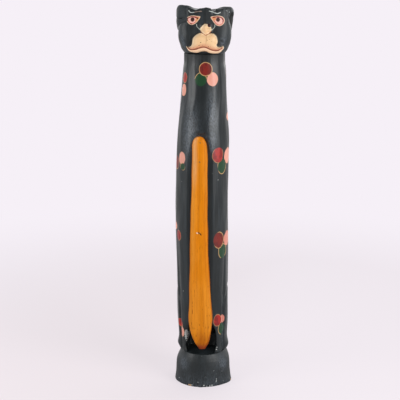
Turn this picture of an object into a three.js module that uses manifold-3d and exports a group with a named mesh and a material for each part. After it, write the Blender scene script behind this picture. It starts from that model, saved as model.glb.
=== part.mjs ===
// A tall carved and painted wooden cat that sits upright on a round plinth.
// Millimetres, +Z up, the body faces -Y, and the origin is the centre of the plinth's foot.
// The log, head, ears, belly strip, tail and plinth are separate carvings, held by dowels, pins and nails.

import * as THREE from "three";
import { mergeVertices } from "three/addons/utils/BufferGeometryUtils.js";
import Module from "manifold-3d";

const wasm = await Module();
wasm.setup();

// Clearances between glued or seated pieces, and round each dowel
const glueGap = 0.3;
const dowelClearance = 0.3;

// Plinth
const plinthHeight = 88;
const plinthFootRadius = 74.5;
const plinthBeltRadius = 72.5;
const plinthRimRadius = 61;
const plinthShoulderDrop = 38;
const plinthRimDrop = 11;

// Log: how tall it is, its half width from foot to neck, and its depth for its width
const logLength = 796;
const logFootHalfWidth = 62;
const hipHalfWidth = 66.5;
const bellyHalfWidth = 69;
const shoulderHalfWidth = 66.5;
const neckHalfWidth = 51;
const hipRise = 110;
const bellyRise = 320;
const shoulderDrop = 238;
const neckLength = 28;
const logDepthShare = 0.97;

// The log isn't quite straight: how far its middle stands aside at the bow and at the neck
const bowRise = 450;
const bowAside = -3.5;
const neckAside = 2.7;

// Thighs, hind paws and the grooves that part the forelegs from the flanks
const thighSwell = 3.5;
const thighRise = 95;
const thighReach = 80;
const thighAngle = 104;
const thighSpread = 34;
const pawSwell = 7;
const pawRise = 12;
const pawReach = 17;
const pawAngle = 82;
const pawSpread = 20;
const legGrooveDepth = 6;
const legGrooveAngle = 67;
const legGrooveSpread = 6;
const legGrooveLength = 330;

// Channel down the belly, and the deep hollow between the forelegs at its foot
const channelFloorY = -56;
const channelMouthY = -100;
const channelSideGap = 9;
const channelFlare = 8;
const channelCornerCut = 3;
const hollowHalfWidth = 40;
const hollowBackY = 6;
const hollowRise = 84;
const hollowSlope = 45;

// Belly strip
const stripFootRise = 15;
const stripLength = 575.5;
const stripUpperHalfWidth = 19.6;
const stripMiddleHalfWidth = 23.5;
const stripLowerHalfWidth = 32;
const stripMiddleRise = 295;
const stripWidestRise = 95;
const stripFrontY = -68;
const stripTopRound = 34;
const stripFootRound = 90;
const stripTipWidthShare = 0.1;
const stripTipDepthShare = 0.6;

// Head
const headHeight = 109;
const headHalfWidth = 65.5;
const headFrontY = -62;
const headBackY = 60;
const jawRise = 42;
const crownRound = 22;
const headCornering = 0.54;
const headTurn = 6.5;

// Face relief
const reliefRoot = 12;
const muzzleReach = 22;
const muzzleHalfWidth = 33;
const muzzleHalfHeight = 24;
const muzzleRise = 31;
const lipRise = 11;
const lipHalfWidth = 46;
const lipHalfHeight = 7.5;
const noseRise = 60;
const noseHalfWidth = 14.5;
const bridgeReach = 6;

// Ears
const earOverhang = 6;
const earRise = 7;
const earLength = 63.5;
const earInnerX = 14;
const earFrontY = -52;
const earBackY = 14;
const earSquareness = 6;
const earCrownDrop = 4.5;
const earSlopeStartX = 15;
const earSlopeEndX = 48;
const earRootTaper = 6;
const earSweepStartX = 54;
const earSweepBack = 32;
const earHollowInset = 8;
const earHollowDrop = 32;
const earHollowHalfWidth = 8;
const earHollowHalfHeight = 16;
const earHollowDepth = 8;

// Tail up the back
const tailFootRise = 14;
const tailLength = 334;
const tailWidth = 26;
const tailThickness = 15;
const tailSway = 14;

// Dowels, pins and nails
const neckDowelRadius = 10;
const neckDowelLength = 84;
const plinthDowelRadius = 8;
const plinthDowelLength = 72;
const plinthDowelSpacing = 56;
const plinthDowelY = 32;
const earDowelRadius = 3;
const earDowelLength = 30;
const earDowelY = 5;
const earDowelInset = 10;
const earDowelDrop = 17;
const earDowelSlope = 0.9;
const tailPinRadius = 2.5;
const tailPinLength = 30;
const nailRadius = 1;
const nailHeadRadius = 2.1;
const nailHeadThickness = 1;
const nailLength = 40;
const nailDrops = [16, 65, 252, 418];
const nailMouth = 5;

// Heights above the floor
const logFoot = plinthHeight + glueGap;
const neckTop = plinthHeight + logLength;
const headFoot = neckTop + glueGap;
const crown = neckTop + headHeight;
const earTip = crown + earRise;
const stripFoot = plinthHeight + stripFootRise;
const stripTop = stripFoot + stripLength;

const darkPaint = new THREE.MeshStandardMaterial({ color: 0x343c3f, roughness: 0.45, metalness: 0 });
const ochreStain = new THREE.MeshStandardMaterial({ color: 0xd9841c, roughness: 0.4, metalness: 0 });
const bareWood = new THREE.MeshStandardMaterial({ color: 0xc9a06a, roughness: 0.75, metalness: 0 });
const nailSteel = new THREE.MeshStandardMaterial({ color: 0x8a6a3c, roughness: 0.5, metalness: 0.9 });

// Smooth curve through [position, value] knots that never swings past a knot, level at both ends
function curveThrough(knots) {
  const rate = (k) => (knots[k + 1][1] - knots[k][1]) / (knots[k + 1][0] - knots[k][0]);
  const slopes = knots.map((_, k) => {
    if (k === 0 || k === knots.length - 1) return 0;
    const [before, after] = [rate(k - 1), rate(k)];
    return before * after > 0 ? (2 * before * after) / (before + after) : 0;
  });
  return (at) => {
    const held = THREE.MathUtils.clamp(at, knots[0][0], knots.at(-1)[0]);
    const i = Math.max(0, knots.findLastIndex(([position], k) => position <= held && k < knots.length - 1));
    const span = knots[i + 1][0] - knots[i][0];
    const t = (held - knots[i][0]) / span;
    const rise = knots[i + 1][1] - knots[i][1];
    const [m0, m1] = [slopes[i] * span, slopes[i + 1] * span];
    return knots[i][1] + t * (m0 + t * (3 * rise - 2 * m0 - m1 + t * (m0 + m1 - 2 * rise)));
  };
}

// Bell-shaped falloff: 1 at the centre, about 0.02 at two reaches away
const bell = (distance, reach) => Math.exp(-((distance / reach) ** 2));

// Round end: 0 at the very end, 1 from a length inwards
const roundEnd = (inwards, length) => Math.sqrt(1 - (1 - THREE.MathUtils.clamp(inwards / length, 0, 1)) ** 2);

// Signed power, which squares off a circle's cosine and sine into a superellipse's
const signedPower = (value, power) => Math.sign(value) * Math.abs(value) ** power;

// Evenly spaced numbers from first to last
const spread = (first, last, count) =>
  Array.from({ length: count }, (_, i) => first + ((last - first) * i) / (count - 1));

// Closed solid through stacked rings of [x, y, z] points, each ring anticlockwise seen from above
function loftSolid(rings) {
  const count = rings[0].length;
  const points = rings.flat();
  const middle = (ring) => [0, 1, 2].map((k) => ring.reduce((sum, point) => sum + point[k], 0) / count);
  const firstCentre = points.push(middle(rings[0])) - 1;
  const lastCentre = points.push(middle(rings.at(-1))) - 1;
  const lastRing = (rings.length - 1) * count;
  const faces = [];
  for (let j = 0; j < count; j++) {
    const next = (j + 1) % count;
    for (let i = 0; i < rings.length - 1; i++) {
      const [low, high] = [i * count, (i + 1) * count];
      faces.push(low + j, low + next, high + next, low + j, high + next, high + j);
    }
    faces.push(firstCentre, next, j, lastCentre, lastRing + j, lastRing + next);
  }
  const geometry = new THREE.BufferGeometry();
  geometry.setAttribute("position", new THREE.Float32BufferAttribute(points.flat(), 3));
  geometry.setIndex(faces);
  return solidOf(geometry);
}

// three.js geometry as a solid that can be joined and cut
function solidOf(geometry) {
  const bare = geometry.clone();
  bare.deleteAttribute("normal");
  bare.deleteAttribute("uv");
  const merged = mergeVertices(bare, 1e-4);
  return new wasm.Manifold(
    new wasm.Mesh({
      numProp: 3,
      vertProperties: new Float32Array(merged.attributes.position.array),
      triVerts: new Uint32Array(merged.index.array),
    }),
  );
}

// Solid as a named mesh in its own material
function meshOf(name, solid, material) {
  const { vertProperties, triVerts } = solid.getMesh();
  const geometry = new THREE.BufferGeometry();
  geometry.setAttribute("position", new THREE.BufferAttribute(new Float32Array(vertProperties), 3));
  geometry.setIndex(new THREE.BufferAttribute(new Uint32Array(triVerts), 1));
  const mesh = new THREE.Mesh(geometry, material);
  mesh.name = name;
  return mesh;
}

// Round peg from one point to another
function peg([from, to], radius, sides = 16) {
  const [start, end] = [new THREE.Vector3(...from), new THREE.Vector3(...to)];
  const direction = end.clone().sub(start);
  const geometry = new THREE.CylinderGeometry(radius, radius, direction.length(), sides);
  geometry.applyQuaternion(
    new THREE.Quaternion().setFromUnitVectors(new THREE.Vector3(0, 1, 0), direction.clone().normalize()),
  );
  const centre = start.add(end).multiplyScalar(0.5);
  return solidOf(geometry.translate(centre.x, centre.y, centre.z));
}

// Hole for a peg, wider and longer than it by the dowel clearance
function pegHole([from, to], radius, sides = 16) {
  const grow = new THREE.Vector3(...to).sub(new THREE.Vector3(...from)).setLength(dowelClearance).toArray();
  const before = from.map((value, k) => value - grow[k]);
  const after = to.map((value, k) => value + grow[k]);
  return peg([before, after], radius + dowelClearance, sides);
}

// Move every point of a geometry by a rule that takes and gives [x, y, z]
function reshape(geometry, rule) {
  const { position } = geometry.attributes;
  for (let i = 0; i < position.count; i++) {
    position.setXYZ(i, ...rule(new THREE.Vector3().fromBufferAttribute(position, i).toArray()));
  }
  return geometry;
}

// Ball of radius 1; above 2, squareness fills it out towards a box
function squaredBall(segments, squareness) {
  const ball = new THREE.SphereGeometry(1, segments, Math.round(segments / 2) + 2);
  return reshape(ball, (point) => {
    const size = point.reduce((sum, value) => sum + Math.abs(value) ** squareness, 0);
    return point.map((value) => value / size ** (1 / squareness));
  });
}

// Egg-shaped solid with its own half sizes
function egg(centre, halfSizes, segments = 20, squareness = 2) {
  return solidOf(squaredBall(segments, squareness).scale(...halfSizes).translate(...centre));
}

// Where the log's middle stands at a height
const asideAt = curveThrough([
  [plinthHeight, 0],
  [plinthHeight + bowRise, bowAside],
  [neckTop, neckAside],
]);

// Plinth: a turned drum with a rounded shoulder
function makePlinth() {
  const profile = new THREE.Path();
  profile.moveTo(0, 0);
  profile.lineTo(plinthFootRadius, 0);
  profile.lineTo(plinthBeltRadius, plinthHeight - plinthShoulderDrop);
  profile.quadraticCurveTo(
    plinthBeltRadius - 1,
    plinthHeight - plinthRimDrop,
    plinthRimRadius,
    plinthHeight,
  );
  profile.lineTo(0, plinthHeight);
  return solidOf(new THREE.LatheGeometry(profile.getPoints(10), 56).rotateX(Math.PI / 2));
}

// Log: half width at each height
const logHalfWidth = curveThrough([
  [logFoot, logFootHalfWidth],
  [plinthHeight + hipRise, hipHalfWidth],
  [plinthHeight + bellyRise, bellyHalfWidth],
  [neckTop - shoulderDrop, shoulderHalfWidth],
  [neckTop - neckLength, neckHalfWidth],
  [neckTop, neckHalfWidth],
]);

// Log: point of its skin at a height and an angle from the front, positive towards +X
function logSkin(height, degrees, grow) {
  const side = Math.abs(degrees);
  const angle = THREE.MathUtils.degToRad(degrees);
  const rise = height - plinthHeight;
  const thigh = thighSwell * bell(side - thighAngle, thighSpread) * bell(rise - thighRise, thighReach);
  const paw = pawSwell * bell(side - pawAngle, pawSpread) * bell(rise - pawRise, pawReach);
  const grooveFade = 1 - THREE.MathUtils.smoothstep(rise, legGrooveLength / 2, legGrooveLength);
  const groove = legGrooveDepth * grooveFade * bell(side - legGrooveAngle, legGrooveSpread);
  const halfWidth = logHalfWidth(height) + thigh + paw - groove + grow;
  return [
    asideAt(height) + halfWidth * Math.sin(angle),
    -halfWidth * logDepthShare * Math.cos(angle),
    height,
  ];
}

// Log before anything is cut from it, or a bigger copy that trims what lies on it
function logBlank(grow = 0) {
  const count = 56;
  const heights = [
    ...spread(logFoot - grow, plinthHeight + 60, 8),
    ...spread(plinthHeight + 82, plinthHeight + legGrooveLength, 10),
    ...spread(plinthHeight + legGrooveLength + 40, neckTop - neckLength - 8, 11),
    neckTop + grow,
  ];
  const degrees = Array.from({ length: count }, (_, j) => -180 + (360 * (j + 0.5)) / count);
  return loftSolid(heights.map((height) => degrees.map((at) => logSkin(height, at, grow))));
}

// Belly strip: half width at each height, drawn in round at the top and to a blunt point at the foot
const stripBody = curveThrough([
  [stripFoot, stripLowerHalfWidth],
  [stripFoot + stripWidestRise, stripLowerHalfWidth],
  [stripFoot + stripMiddleRise, stripMiddleHalfWidth],
  [stripTop, stripUpperHalfWidth],
]);
const stripEnds = (height) =>
  roundEnd(stripTop - height, stripTopRound) * roundEnd(height - stripFoot, stripFootRound) ** 1.3;
const stripHalfWidth = (height) => stripBody(height) * Math.max(stripTipWidthShare, stripEnds(height));

// Belly strip: a half-round lath with a flat back
const stripBackY = channelFloorY - glueGap;
const stripDepth = (height) =>
  (stripBackY - stripFrontY) * Math.sqrt(Math.max(stripTipDepthShare, stripEnds(height)));
function makeStrip() {
  const steps = 12;
  const heights = [
    ...[0, 3, 8, 15, 25, 40, 60].map((above) => stripFoot + above),
    ...spread(stripFoot + stripWidestRise, stripTop - 60, 11),
    ...[40, 28, 18, 10, 4, 1, 0].map((below) => stripTop - below),
  ];
  return loftSolid(
    heights.map((height) => {
      const halfWidth = stripHalfWidth(height);
      return Array.from({ length: steps + 1 }, (_, j) => {
        const angle = (Math.PI * j) / steps;
        return [
          asideAt(height) - halfWidth * signedPower(Math.cos(angle), 0.8),
          stripBackY - stripDepth(height) * Math.sin(angle) ** 0.7,
          height,
        ];
      });
    }),
  );
}

// Space that is cut from the log: the strip's channel, and the deep hollow between the forelegs
function channelSpace() {
  const hollowTop = plinthHeight + hollowRise;
  const floorWidth = curveThrough([
    [plinthHeight, hollowHalfWidth],
    [hollowTop - 30, hollowHalfWidth],
    [hollowTop + 10, stripLowerHalfWidth + channelSideGap / 2],
    [stripFoot + stripMiddleRise, stripMiddleHalfWidth + channelSideGap],
    [stripTop - 40, stripUpperHalfWidth + channelSideGap],
    [stripTop - 12, stripUpperHalfWidth + 2],
    [stripTop + 4, stripUpperHalfWidth * 0.55],
  ]);
  const floorAt = curveThrough([
    [plinthHeight, hollowBackY],
    [hollowTop - hollowSlope, hollowBackY],
    [hollowTop, channelFloorY],
    [stripTop, channelFloorY],
  ]);
  const heights = [
    plinthHeight - hollowSlope,
    ...spread(plinthHeight + 6, hollowTop + 15, 10),
    ...spread(hollowTop + hollowSlope, stripTop - 60, 8),
    ...[40, 26, 14, 6].map((below) => stripTop - below),
    stripTop + 4,
  ];
  return loftSolid(
    heights.map((height) => {
      const [halfWidth, floor, middle] = [floorWidth(height), floorAt(height), asideAt(height)];
      return [
        [middle - halfWidth - channelFlare, channelMouthY, height],
        [middle + halfWidth + channelFlare, channelMouthY, height],
        [middle + halfWidth, floor - channelCornerCut, height],
        [middle + halfWidth - channelCornerCut, floor, height],
        [middle - halfWidth + channelCornerCut, floor, height],
        [middle - halfWidth, floor - channelCornerCut, height],
      ];
    }),
  );
}

// Head: half width, and the share of its full depth, at each height
const headWidthAt = curveThrough([
  [headFoot, neckHalfWidth + 1],
  [headFoot + 15, headHalfWidth * 0.93],
  [neckTop + jawRise, headHalfWidth],
  [crown - crownRound * 1.7, headHalfWidth * 0.96],
  [crown - crownRound, headHalfWidth * 0.9],
  [crown - crownRound * 0.4, headHalfWidth * 0.83],
  [crown - crownRound * 0.1, headHalfWidth * 0.74],
  [crown, headHalfWidth * 0.66],
]);
const headDepthAt = curveThrough([
  [headFoot, 0.84],
  [headFoot + 15, 0.97],
  [neckTop + jawRise, 1],
  [crown - crownRound * 1.5, 0.98],
  [crown - crownRound * 0.5, 0.94],
  [crown - crownRound * 0.1, 0.87],
  [crown, 0.8],
]);

// Head before the face is raised and the holes are bored, or a bigger copy that trims the ears
function headBlank(grow = 0) {
  const count = 44;
  const heights = [
    headFoot - grow,
    ...[4, 9, 15].map((above) => headFoot + above),
    ...spread(neckTop + jawRise - 14, crown - crownRound * 1.3, 6),
    ...[0.9, 0.6, 0.35, 0.15, 0.05].map((share) => crown - crownRound * share),
    crown + grow,
  ];
  return loftSolid(
    heights.map((height) =>
      Array.from({ length: count }, (_, j) => {
        const angle = (2 * Math.PI * j) / count;
        const reach = Math.cos(angle) > 0 ? -headFrontY : headBackY;
        return [
          (headWidthAt(height) + grow) * signedPower(Math.sin(angle), headCornering),
          (reach + grow) * headDepthAt(height) * -signedPower(Math.cos(angle), headCornering),
          height,
        ];
      }),
    ),
  );
}

// Raised face: bridge, nose, two muzzle pads and the long lips
function faceRelief() {
  const inFace = headFrontY + reliefRoot;
  const fullReach = muzzleReach + reliefRoot;
  const padX = muzzleHalfWidth * 0.26;
  const paired = (make) => [make(-1), make(1)];
  const pads = paired((side) =>
    egg(
      [side * padX, inFace, neckTop + muzzleRise],
      [muzzleHalfWidth - padX, fullReach, muzzleHalfHeight],
      24,
      2.3,
    ),
  );
  const lips = paired((side) =>
    egg(
      [side * lipHalfWidth * 0.38, inFace, neckTop + lipRise],
      [lipHalfWidth * 0.62, fullReach - 2, lipHalfHeight],
      24,
    ),
  );
  const nose = egg(
    [0, inFace, neckTop + noseRise],
    [noseHalfWidth, fullReach - 3, noseHalfWidth * 0.95],
    18,
    2.4,
  );
  const bridge = egg(
    [0, inFace, neckTop + noseRise + noseHalfWidth],
    [noseHalfWidth * 0.8, reliefRoot + bridgeReach, noseHalfWidth * 1.7],
    14,
  );
  return wasm.Manifold.union([...pads, ...lips, nose, bridge]);
}

// Ear: a thick wedge that slopes down to the crown, is swept back and hollowed in front, and fits the head
const earOuterX = headHalfWidth + earOverhang;
const earFoot = earTip - earLength;
function makeEar(side, trim) {
  const { lerp, smoothstep } = THREE.MathUtils;
  const block = squaredBall(28, earSquareness)
    .scale((earOuterX - earInnerX) / 2, (earBackY - earFrontY) / 2, 0.5)
    .translate((earOuterX + earInnerX) / 2, (earFrontY + earBackY) / 2, 0.5);
  const lobe = reshape(block, ([x, y, share]) => {
    const top = lerp(crown - earCrownDrop, earTip, smoothstep(x, earSlopeStartX, earSlopeEndX));
    const taper = earRootTaper * (1 - smoothstep(share, 0, 0.5));
    const sweep = Math.max(0, y / earFrontY) * earSweepBack * smoothstep(x, earSweepStartX, earOuterX);
    return [x - taper, y + sweep, lerp(earFoot, top, share)];
  });
  const ear = solidOf(lobe).subtract(
    egg(
      [earOuterX - earHollowInset, earFrontY + earSweepBack / 2, earTip - earHollowDrop],
      [earHollowHalfWidth, earHollowDepth, earHollowHalfHeight],
      18,
    ),
  );
  return (side > 0 ? ear : ear.mirror([1, 0, 0])).subtract(trim);
}

// Ear dowel: from the ear's thick corner down into the head
function earDowelEnds(side) {
  const outer = [side * (earOuterX - earDowelInset), earDowelY, earTip - earDowelDrop];
  const inwards = new THREE.Vector3(-side, 0, -earDowelSlope).setLength(earDowelLength).toArray();
  return [outer, outer.map((value, k) => value + inwards[k])];
}

// Tail: its middle line up the back, in the log's skin
function tailPoint(share) {
  const height = plinthHeight + tailFootRise + tailLength * share;
  const aside = asideAt(height) + tailSway * Math.sin(share * Math.PI * 2.1);
  return new THREE.Vector3(aside, logHalfWidth(height) * logDepthShare - 2, height);
}

// Tail before it is trimmed to the log
function tailBlank() {
  const count = 14;
  return loftSolid(
    spread(0, 1, 28).map((share) => {
      const centre = tailPoint(share);
      const along = tailPoint(share + 0.01).sub(tailPoint(share - 0.01)).normalize();
      const ends = roundEnd(share + 0.02, 0.08) * roundEnd(1.005 - share, 0.1);
      const size = (1.08 - 0.25 * share) * ends;
      return Array.from({ length: count }, (_, j) => {
        const angle = (2 * Math.PI * j) / count;
        const across = (tailWidth / 2) * size * Math.cos(angle);
        return [
          centre.x + along.z * across,
          centre.y + tailThickness * size * Math.sin(angle),
          centre.z - along.x * across,
        ];
      });
    }),
  );
}

// Tail pins: straight through the tail into the log, at shares of the tail's length
const tailPinShares = [0.12, 0.5, 0.88];
function tailPinEnds(share) {
  const { x, y, z } = tailPoint(share);
  const outerY = y + tailThickness * 0.5;
  return [
    [x, outerY, z],
    [x, outerY - tailPinLength, z],
  ];
}

// Nail through the strip into the log: its head and its shank, which start in the strip's face
const nailHeights = nailDrops.map((drop) => stripTop - drop);
function nailParts(height) {
  const faceY = stripBackY - stripDepth(height);
  const at = (y) => [asideAt(height), y, height];
  return {
    head: [at(faceY - nailHeadThickness / 2), at(faceY + nailHeadThickness / 2)],
    shank: [at(faceY), at(faceY + nailLength)],
  };
}
function makeNail(height) {
  const { head, shank } = nailParts(height);
  return peg(head, nailHeadRadius, 12).add(peg(shank, nailRadius, 8));
}
function nailHole(height) {
  const { head, shank } = nailParts(height);
  const [outer, inner] = head;
  const mouth = [outer[0], outer[1] - nailMouth, outer[2]];
  return pegHole([mouth, inner], nailHeadRadius, 12).add(pegHole(shank, nailRadius, 8));
}

// Dowels between log and head, and between plinth and log
const neckDowelEnds = [-1, 1].map((end) => [0, 0, neckTop + (end * neckDowelLength) / 2]);
const plinthDowelEnds = (side) =>
  [-1, 1].map((end) => [
    (side * plinthDowelSpacing) / 2,
    plinthDowelY,
    plinthHeight + (end * plinthDowelLength) / 2,
  ]);

const sides = { left: 1, right: -1 };
const bothSides = Object.values(sides);
const plinthHoles = bothSides.map((side) => pegHole(plinthDowelEnds(side), plinthDowelRadius));
const neckHole = pegHole(neckDowelEnds, neckDowelRadius, 20);
const tailHoles = tailPinShares.map((share) => pegHole(tailPinEnds(share), tailPinRadius, 10));
const nailHoles = nailHeights.map(nailHole);

const log = wasm.Manifold.difference([
  logBlank(),
  channelSpace(),
  neckHole.translate([neckAside, 0, 0]),
  ...plinthHoles,
  ...tailHoles,
  ...nailHoles,
]);

const cat = new THREE.Group();
cat.add(meshOf("plinth", wasm.Manifold.difference([makePlinth(), ...plinthHoles]), darkPaint));
cat.add(meshOf("body_log", log, darkPaint));
cat.add(meshOf("belly_strip", wasm.Manifold.difference([makeStrip(), ...nailHoles]), ochreStain));
cat.add(meshOf("tail", wasm.Manifold.difference([tailBlank(), logBlank(glueGap), ...tailHoles]), darkPaint));

// The head, its ears and their dowels are turned a little towards the cat's left, about the neck dowel
const headGroup = new THREE.Group();
headGroup.position.x = neckAside;
headGroup.rotation.z = THREE.MathUtils.degToRad(headTurn);
const earHoles = bothSides.map((side) => pegHole(earDowelEnds(side), earDowelRadius, 12));
const head = wasm.Manifold.difference([headBlank().add(faceRelief()), neckHole, ...earHoles]);
const earTrim = headBlank(glueGap);
headGroup.add(meshOf("head", head, darkPaint));
headGroup.add(meshOf("neck_dowel", peg(neckDowelEnds, neckDowelRadius, 20), bareWood));
Object.entries(sides).forEach(([name, side], i) => {
  headGroup.add(meshOf(`ear_${name}`, makeEar(side, earTrim).subtract(earHoles[i]), darkPaint));
  headGroup.add(meshOf(`ear_dowel_${name}`, peg(earDowelEnds(side), earDowelRadius, 12), bareWood));
});
cat.add(headGroup);

for (const [name, side] of Object.entries(sides)) {
  cat.add(meshOf(`plinth_dowel_${name}`, peg(plinthDowelEnds(side), plinthDowelRadius), bareWood));
}
tailPinShares.forEach((share, i) => {
  cat.add(meshOf(`tail_pin_${i + 1}`, peg(tailPinEnds(share), tailPinRadius, 10), bareWood));
});
nailHeights.forEach((height, i) => {
  cat.add(meshOf(`belly_nail_${i + 1}`, makeNail(height), nailSteel));
});

export default cat;
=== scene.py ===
"""Looks of a tall carved and painted wooden cat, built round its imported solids.

Sizes in the classes are millimetres, as a carver notes them. Meshes are in metres, +Z up, and the
cat's body faces -Y. Its left side is +X, which is the right side of the picture.
"""

from __future__ import annotations

import logging
import math
from collections.abc import Sequence
from dataclasses import dataclass, field
from enum import Enum

import bpy
import numpy as np
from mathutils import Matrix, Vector, noise


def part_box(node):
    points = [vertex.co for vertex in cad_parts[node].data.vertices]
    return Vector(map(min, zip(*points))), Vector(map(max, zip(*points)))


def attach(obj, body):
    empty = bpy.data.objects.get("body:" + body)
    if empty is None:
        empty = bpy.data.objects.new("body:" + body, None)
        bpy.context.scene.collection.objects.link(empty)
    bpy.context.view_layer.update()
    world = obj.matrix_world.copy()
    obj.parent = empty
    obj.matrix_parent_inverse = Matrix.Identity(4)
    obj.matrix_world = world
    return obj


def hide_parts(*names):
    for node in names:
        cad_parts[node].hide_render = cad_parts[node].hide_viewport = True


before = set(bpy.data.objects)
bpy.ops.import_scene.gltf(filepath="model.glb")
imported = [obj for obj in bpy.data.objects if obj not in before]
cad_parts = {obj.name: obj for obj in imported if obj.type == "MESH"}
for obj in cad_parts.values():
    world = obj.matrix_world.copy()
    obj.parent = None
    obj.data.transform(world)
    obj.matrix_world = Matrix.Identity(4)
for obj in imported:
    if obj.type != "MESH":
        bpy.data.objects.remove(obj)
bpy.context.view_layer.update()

log = logging.getLogger("cat")
logging.basicConfig(level=logging.INFO, format="%(message)s")

MM = 0.001
BODY = "root"

# Millimetres from a painted mark at which nothing of it is left
FAR = 50.0

Knots = Sequence[tuple[float, float]]
Points = Sequence[tuple[float, float]]
Colour = tuple[float, float, float]
Material = bpy.types.Material
Socket = bpy.types.NodeSocket


class Slot(Enum):
    """Material slots of the record."""

    DARK_PAINT = "dark_paint"
    OCHRE_STAIN = "ochre_stain"
    BARE_WOOD = "bare_wood"
    NAIL_STEEL = "nail_steel"


class Side(Enum):
    """The cat's own left and right."""

    LEFT = 1
    RIGHT = -1

    @property
    def word(self) -> str:
        """Lower-case name, as it ends the nodes' names."""
        return self.name.lower()


def paint(red: int, green: int, blue: int) -> Colour:
    """Turn a colour as it is seen, 0 to 255, into the linear values that shaders take."""
    seen = (channel / 255 for channel in (red, green, blue))
    return tuple(c / 12.92 if c <= 0.04045 else ((c + 0.055) / 1.055) ** 2.4 for c in seen)


def curve_through(knots: Knots, at: np.ndarray) -> np.ndarray:
    """Follow a smooth curve that never swings past a knot and is level at both ends.

    Args:
        knots: Position and value of each knot, in rising order of position.
        at: Positions to read.

    Returns:
        The curve's value at each position.
    """
    where, value = np.array(knots, float).T
    rate = np.diff(value) / np.diff(where)
    slope = np.zeros(len(where))
    before, after = rate[:-1], rate[1:]
    same_way = before * after > 0
    slope[1:-1][same_way] = (2 * before * after / (before + after + 1e-12))[same_way]
    held = np.clip(at, where[0], where[-1])
    i = np.clip(np.searchsorted(where, held, side="right") - 1, 0, len(where) - 2)
    span = where[i + 1] - where[i]
    t = (held - where[i]) / span
    rise = value[i + 1] - value[i]
    start, end = slope[i] * span, slope[i + 1] * span
    return value[i] + t * (start + t * (3 * rise - 2 * start - end + t * (start + end - 2 * rise)))


def bell(distance: np.ndarray, reach: float) -> np.ndarray:
    """Fall off from 1 at no distance to about 0.02 at two reaches."""
    return np.exp(-((distance / reach) ** 2))


def ramp(values: np.ndarray, start: float, end: float) -> np.ndarray:
    """Rise smoothly from 0 at start to 1 at end."""
    t = np.clip((values - start) / (end - start), 0, 1)
    return t * t * (3 - 2 * t)


def signed_power(values: np.ndarray, power: float) -> np.ndarray:
    """Raise the size of each value to a power and keep its sign."""
    return np.sign(values) * np.abs(values) ** power


def round_over(depth: np.ndarray, radius: float) -> np.ndarray:
    """Rise from 0 at an edge to 1 a radius inside it, along a quarter circle."""
    return np.sqrt(1 - (1 - np.clip(depth / radius, 0, 1)) ** 2)


def wander(points: np.ndarray, grain: Sequence[float], seed: float) -> np.ndarray:
    """Give each place a smooth random value of about -1 to 1, in a pattern as large as the grain."""
    scaled = points / np.array(grain) + seed
    return np.array([noise.noise(Vector(p)) for p in scaled.tolist()])


def smooth_line(points: Points, closed: bool, steps: int = 6) -> np.ndarray:
    """Draw a smooth line through points.

    Args:
        points: Points to pass through.
        closed: Whether the line returns to its start.
        steps: Short straight runs between two points.

    Returns:
        The line's points, in order.
    """
    p = np.array(points, float)
    count = len(p)
    runs = count if closed else count - 1
    pick = (lambda k: p[k % count]) if closed else (lambda k: p[min(max(k, 0), count - 1)])
    line = []
    for k in range(runs):
        a, b, c, d = pick(k - 1), pick(k), pick(k + 1), pick(k + 2)
        for t in np.arange(steps) / steps:
            bend = (2 * a - 5 * b + 4 * c - d) * t**2
            line.append(0.5 * (2 * b + (c - a) * t + bend + (3 * b - a - 3 * c + d) * t**3))
    if not closed:
        line.append(p[-1])
    return np.array(line)


def line_distance(spots: np.ndarray, line: np.ndarray, closed: bool) -> np.ndarray:
    """Measure how far spots on a flat drawing are from a line.

    Args:
        spots: Two coordinates for each spot.
        line: Points of the line.
        closed: Whether the line returns to its start.

    Returns:
        The distance of each spot.
    """
    starts = line if closed else line[:-1]
    ends = np.roll(line, -1, axis=0) if closed else line[1:]
    nearest = np.full(len(spots), 1e9)
    for a, b in zip(starts, ends, strict=True):
        run = b - a
        share = np.clip(((spots - a) @ run) / max(run @ run, 1e-9), 0, 1)
        nearest = np.minimum(nearest, np.linalg.norm(spots - a - share[:, None] * run, axis=1))
    return nearest


def outline_distance(spots: np.ndarray, outline: np.ndarray) -> np.ndarray:
    """Measure how far spots are outside a closed outline; inside it the distance is negative.

    Args:
        spots: Two coordinates for each spot.
        outline: Points of the outline.

    Returns:
        The signed distance of each spot.
    """
    inside = np.zeros(len(spots), bool)
    x, y = spots.T
    for (ax, ay), (bx, by) in zip(outline, np.roll(outline, -1, axis=0), strict=True):
        if ay == by:
            continue
        crosses = (ay > y) != (by > y)
        inside ^= crosses & (x < (bx - ax) * (y - ay) / (by - ay) + ax)
    distance = line_distance(spots, outline, closed=True)
    return np.where(inside, -distance, distance)


def stroke_distance(spots: np.ndarray, points: Points) -> np.ndarray:
    """Measure how far spots are from the smooth line through points."""
    return line_distance(spots, smooth_line(points, closed=False), closed=False)


def patch_distance(spots: np.ndarray, points: Points) -> np.ndarray:
    """Measure how far spots are outside the smooth outline through points, negative inside it."""
    return outline_distance(spots, smooth_line(points, closed=True))


def turn(points: np.ndarray, degrees: float, axis: int, about: Sequence[float] = (0, 0, 0)) -> np.ndarray:
    """Turn points about an axis line.

    Args:
        points: Places in millimetres.
        degrees: Angle, by the right-hand rule.
        axis: 0, 1 or 2 for X, Y or Z.
        about: A point on the axis line.

    Returns:
        The turned places.
    """
    first, second = (axis + 1) % 3, (axis + 2) % 3
    c, s = math.cos(math.radians(degrees)), math.sin(math.radians(degrees))
    moved = points - np.array(about, float)
    a, b = moved[:, first].copy(), moved[:, second].copy()
    moved[:, first], moved[:, second] = a * c - b * s, a * s + b * c
    return moved + np.array(about, float)


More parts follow.
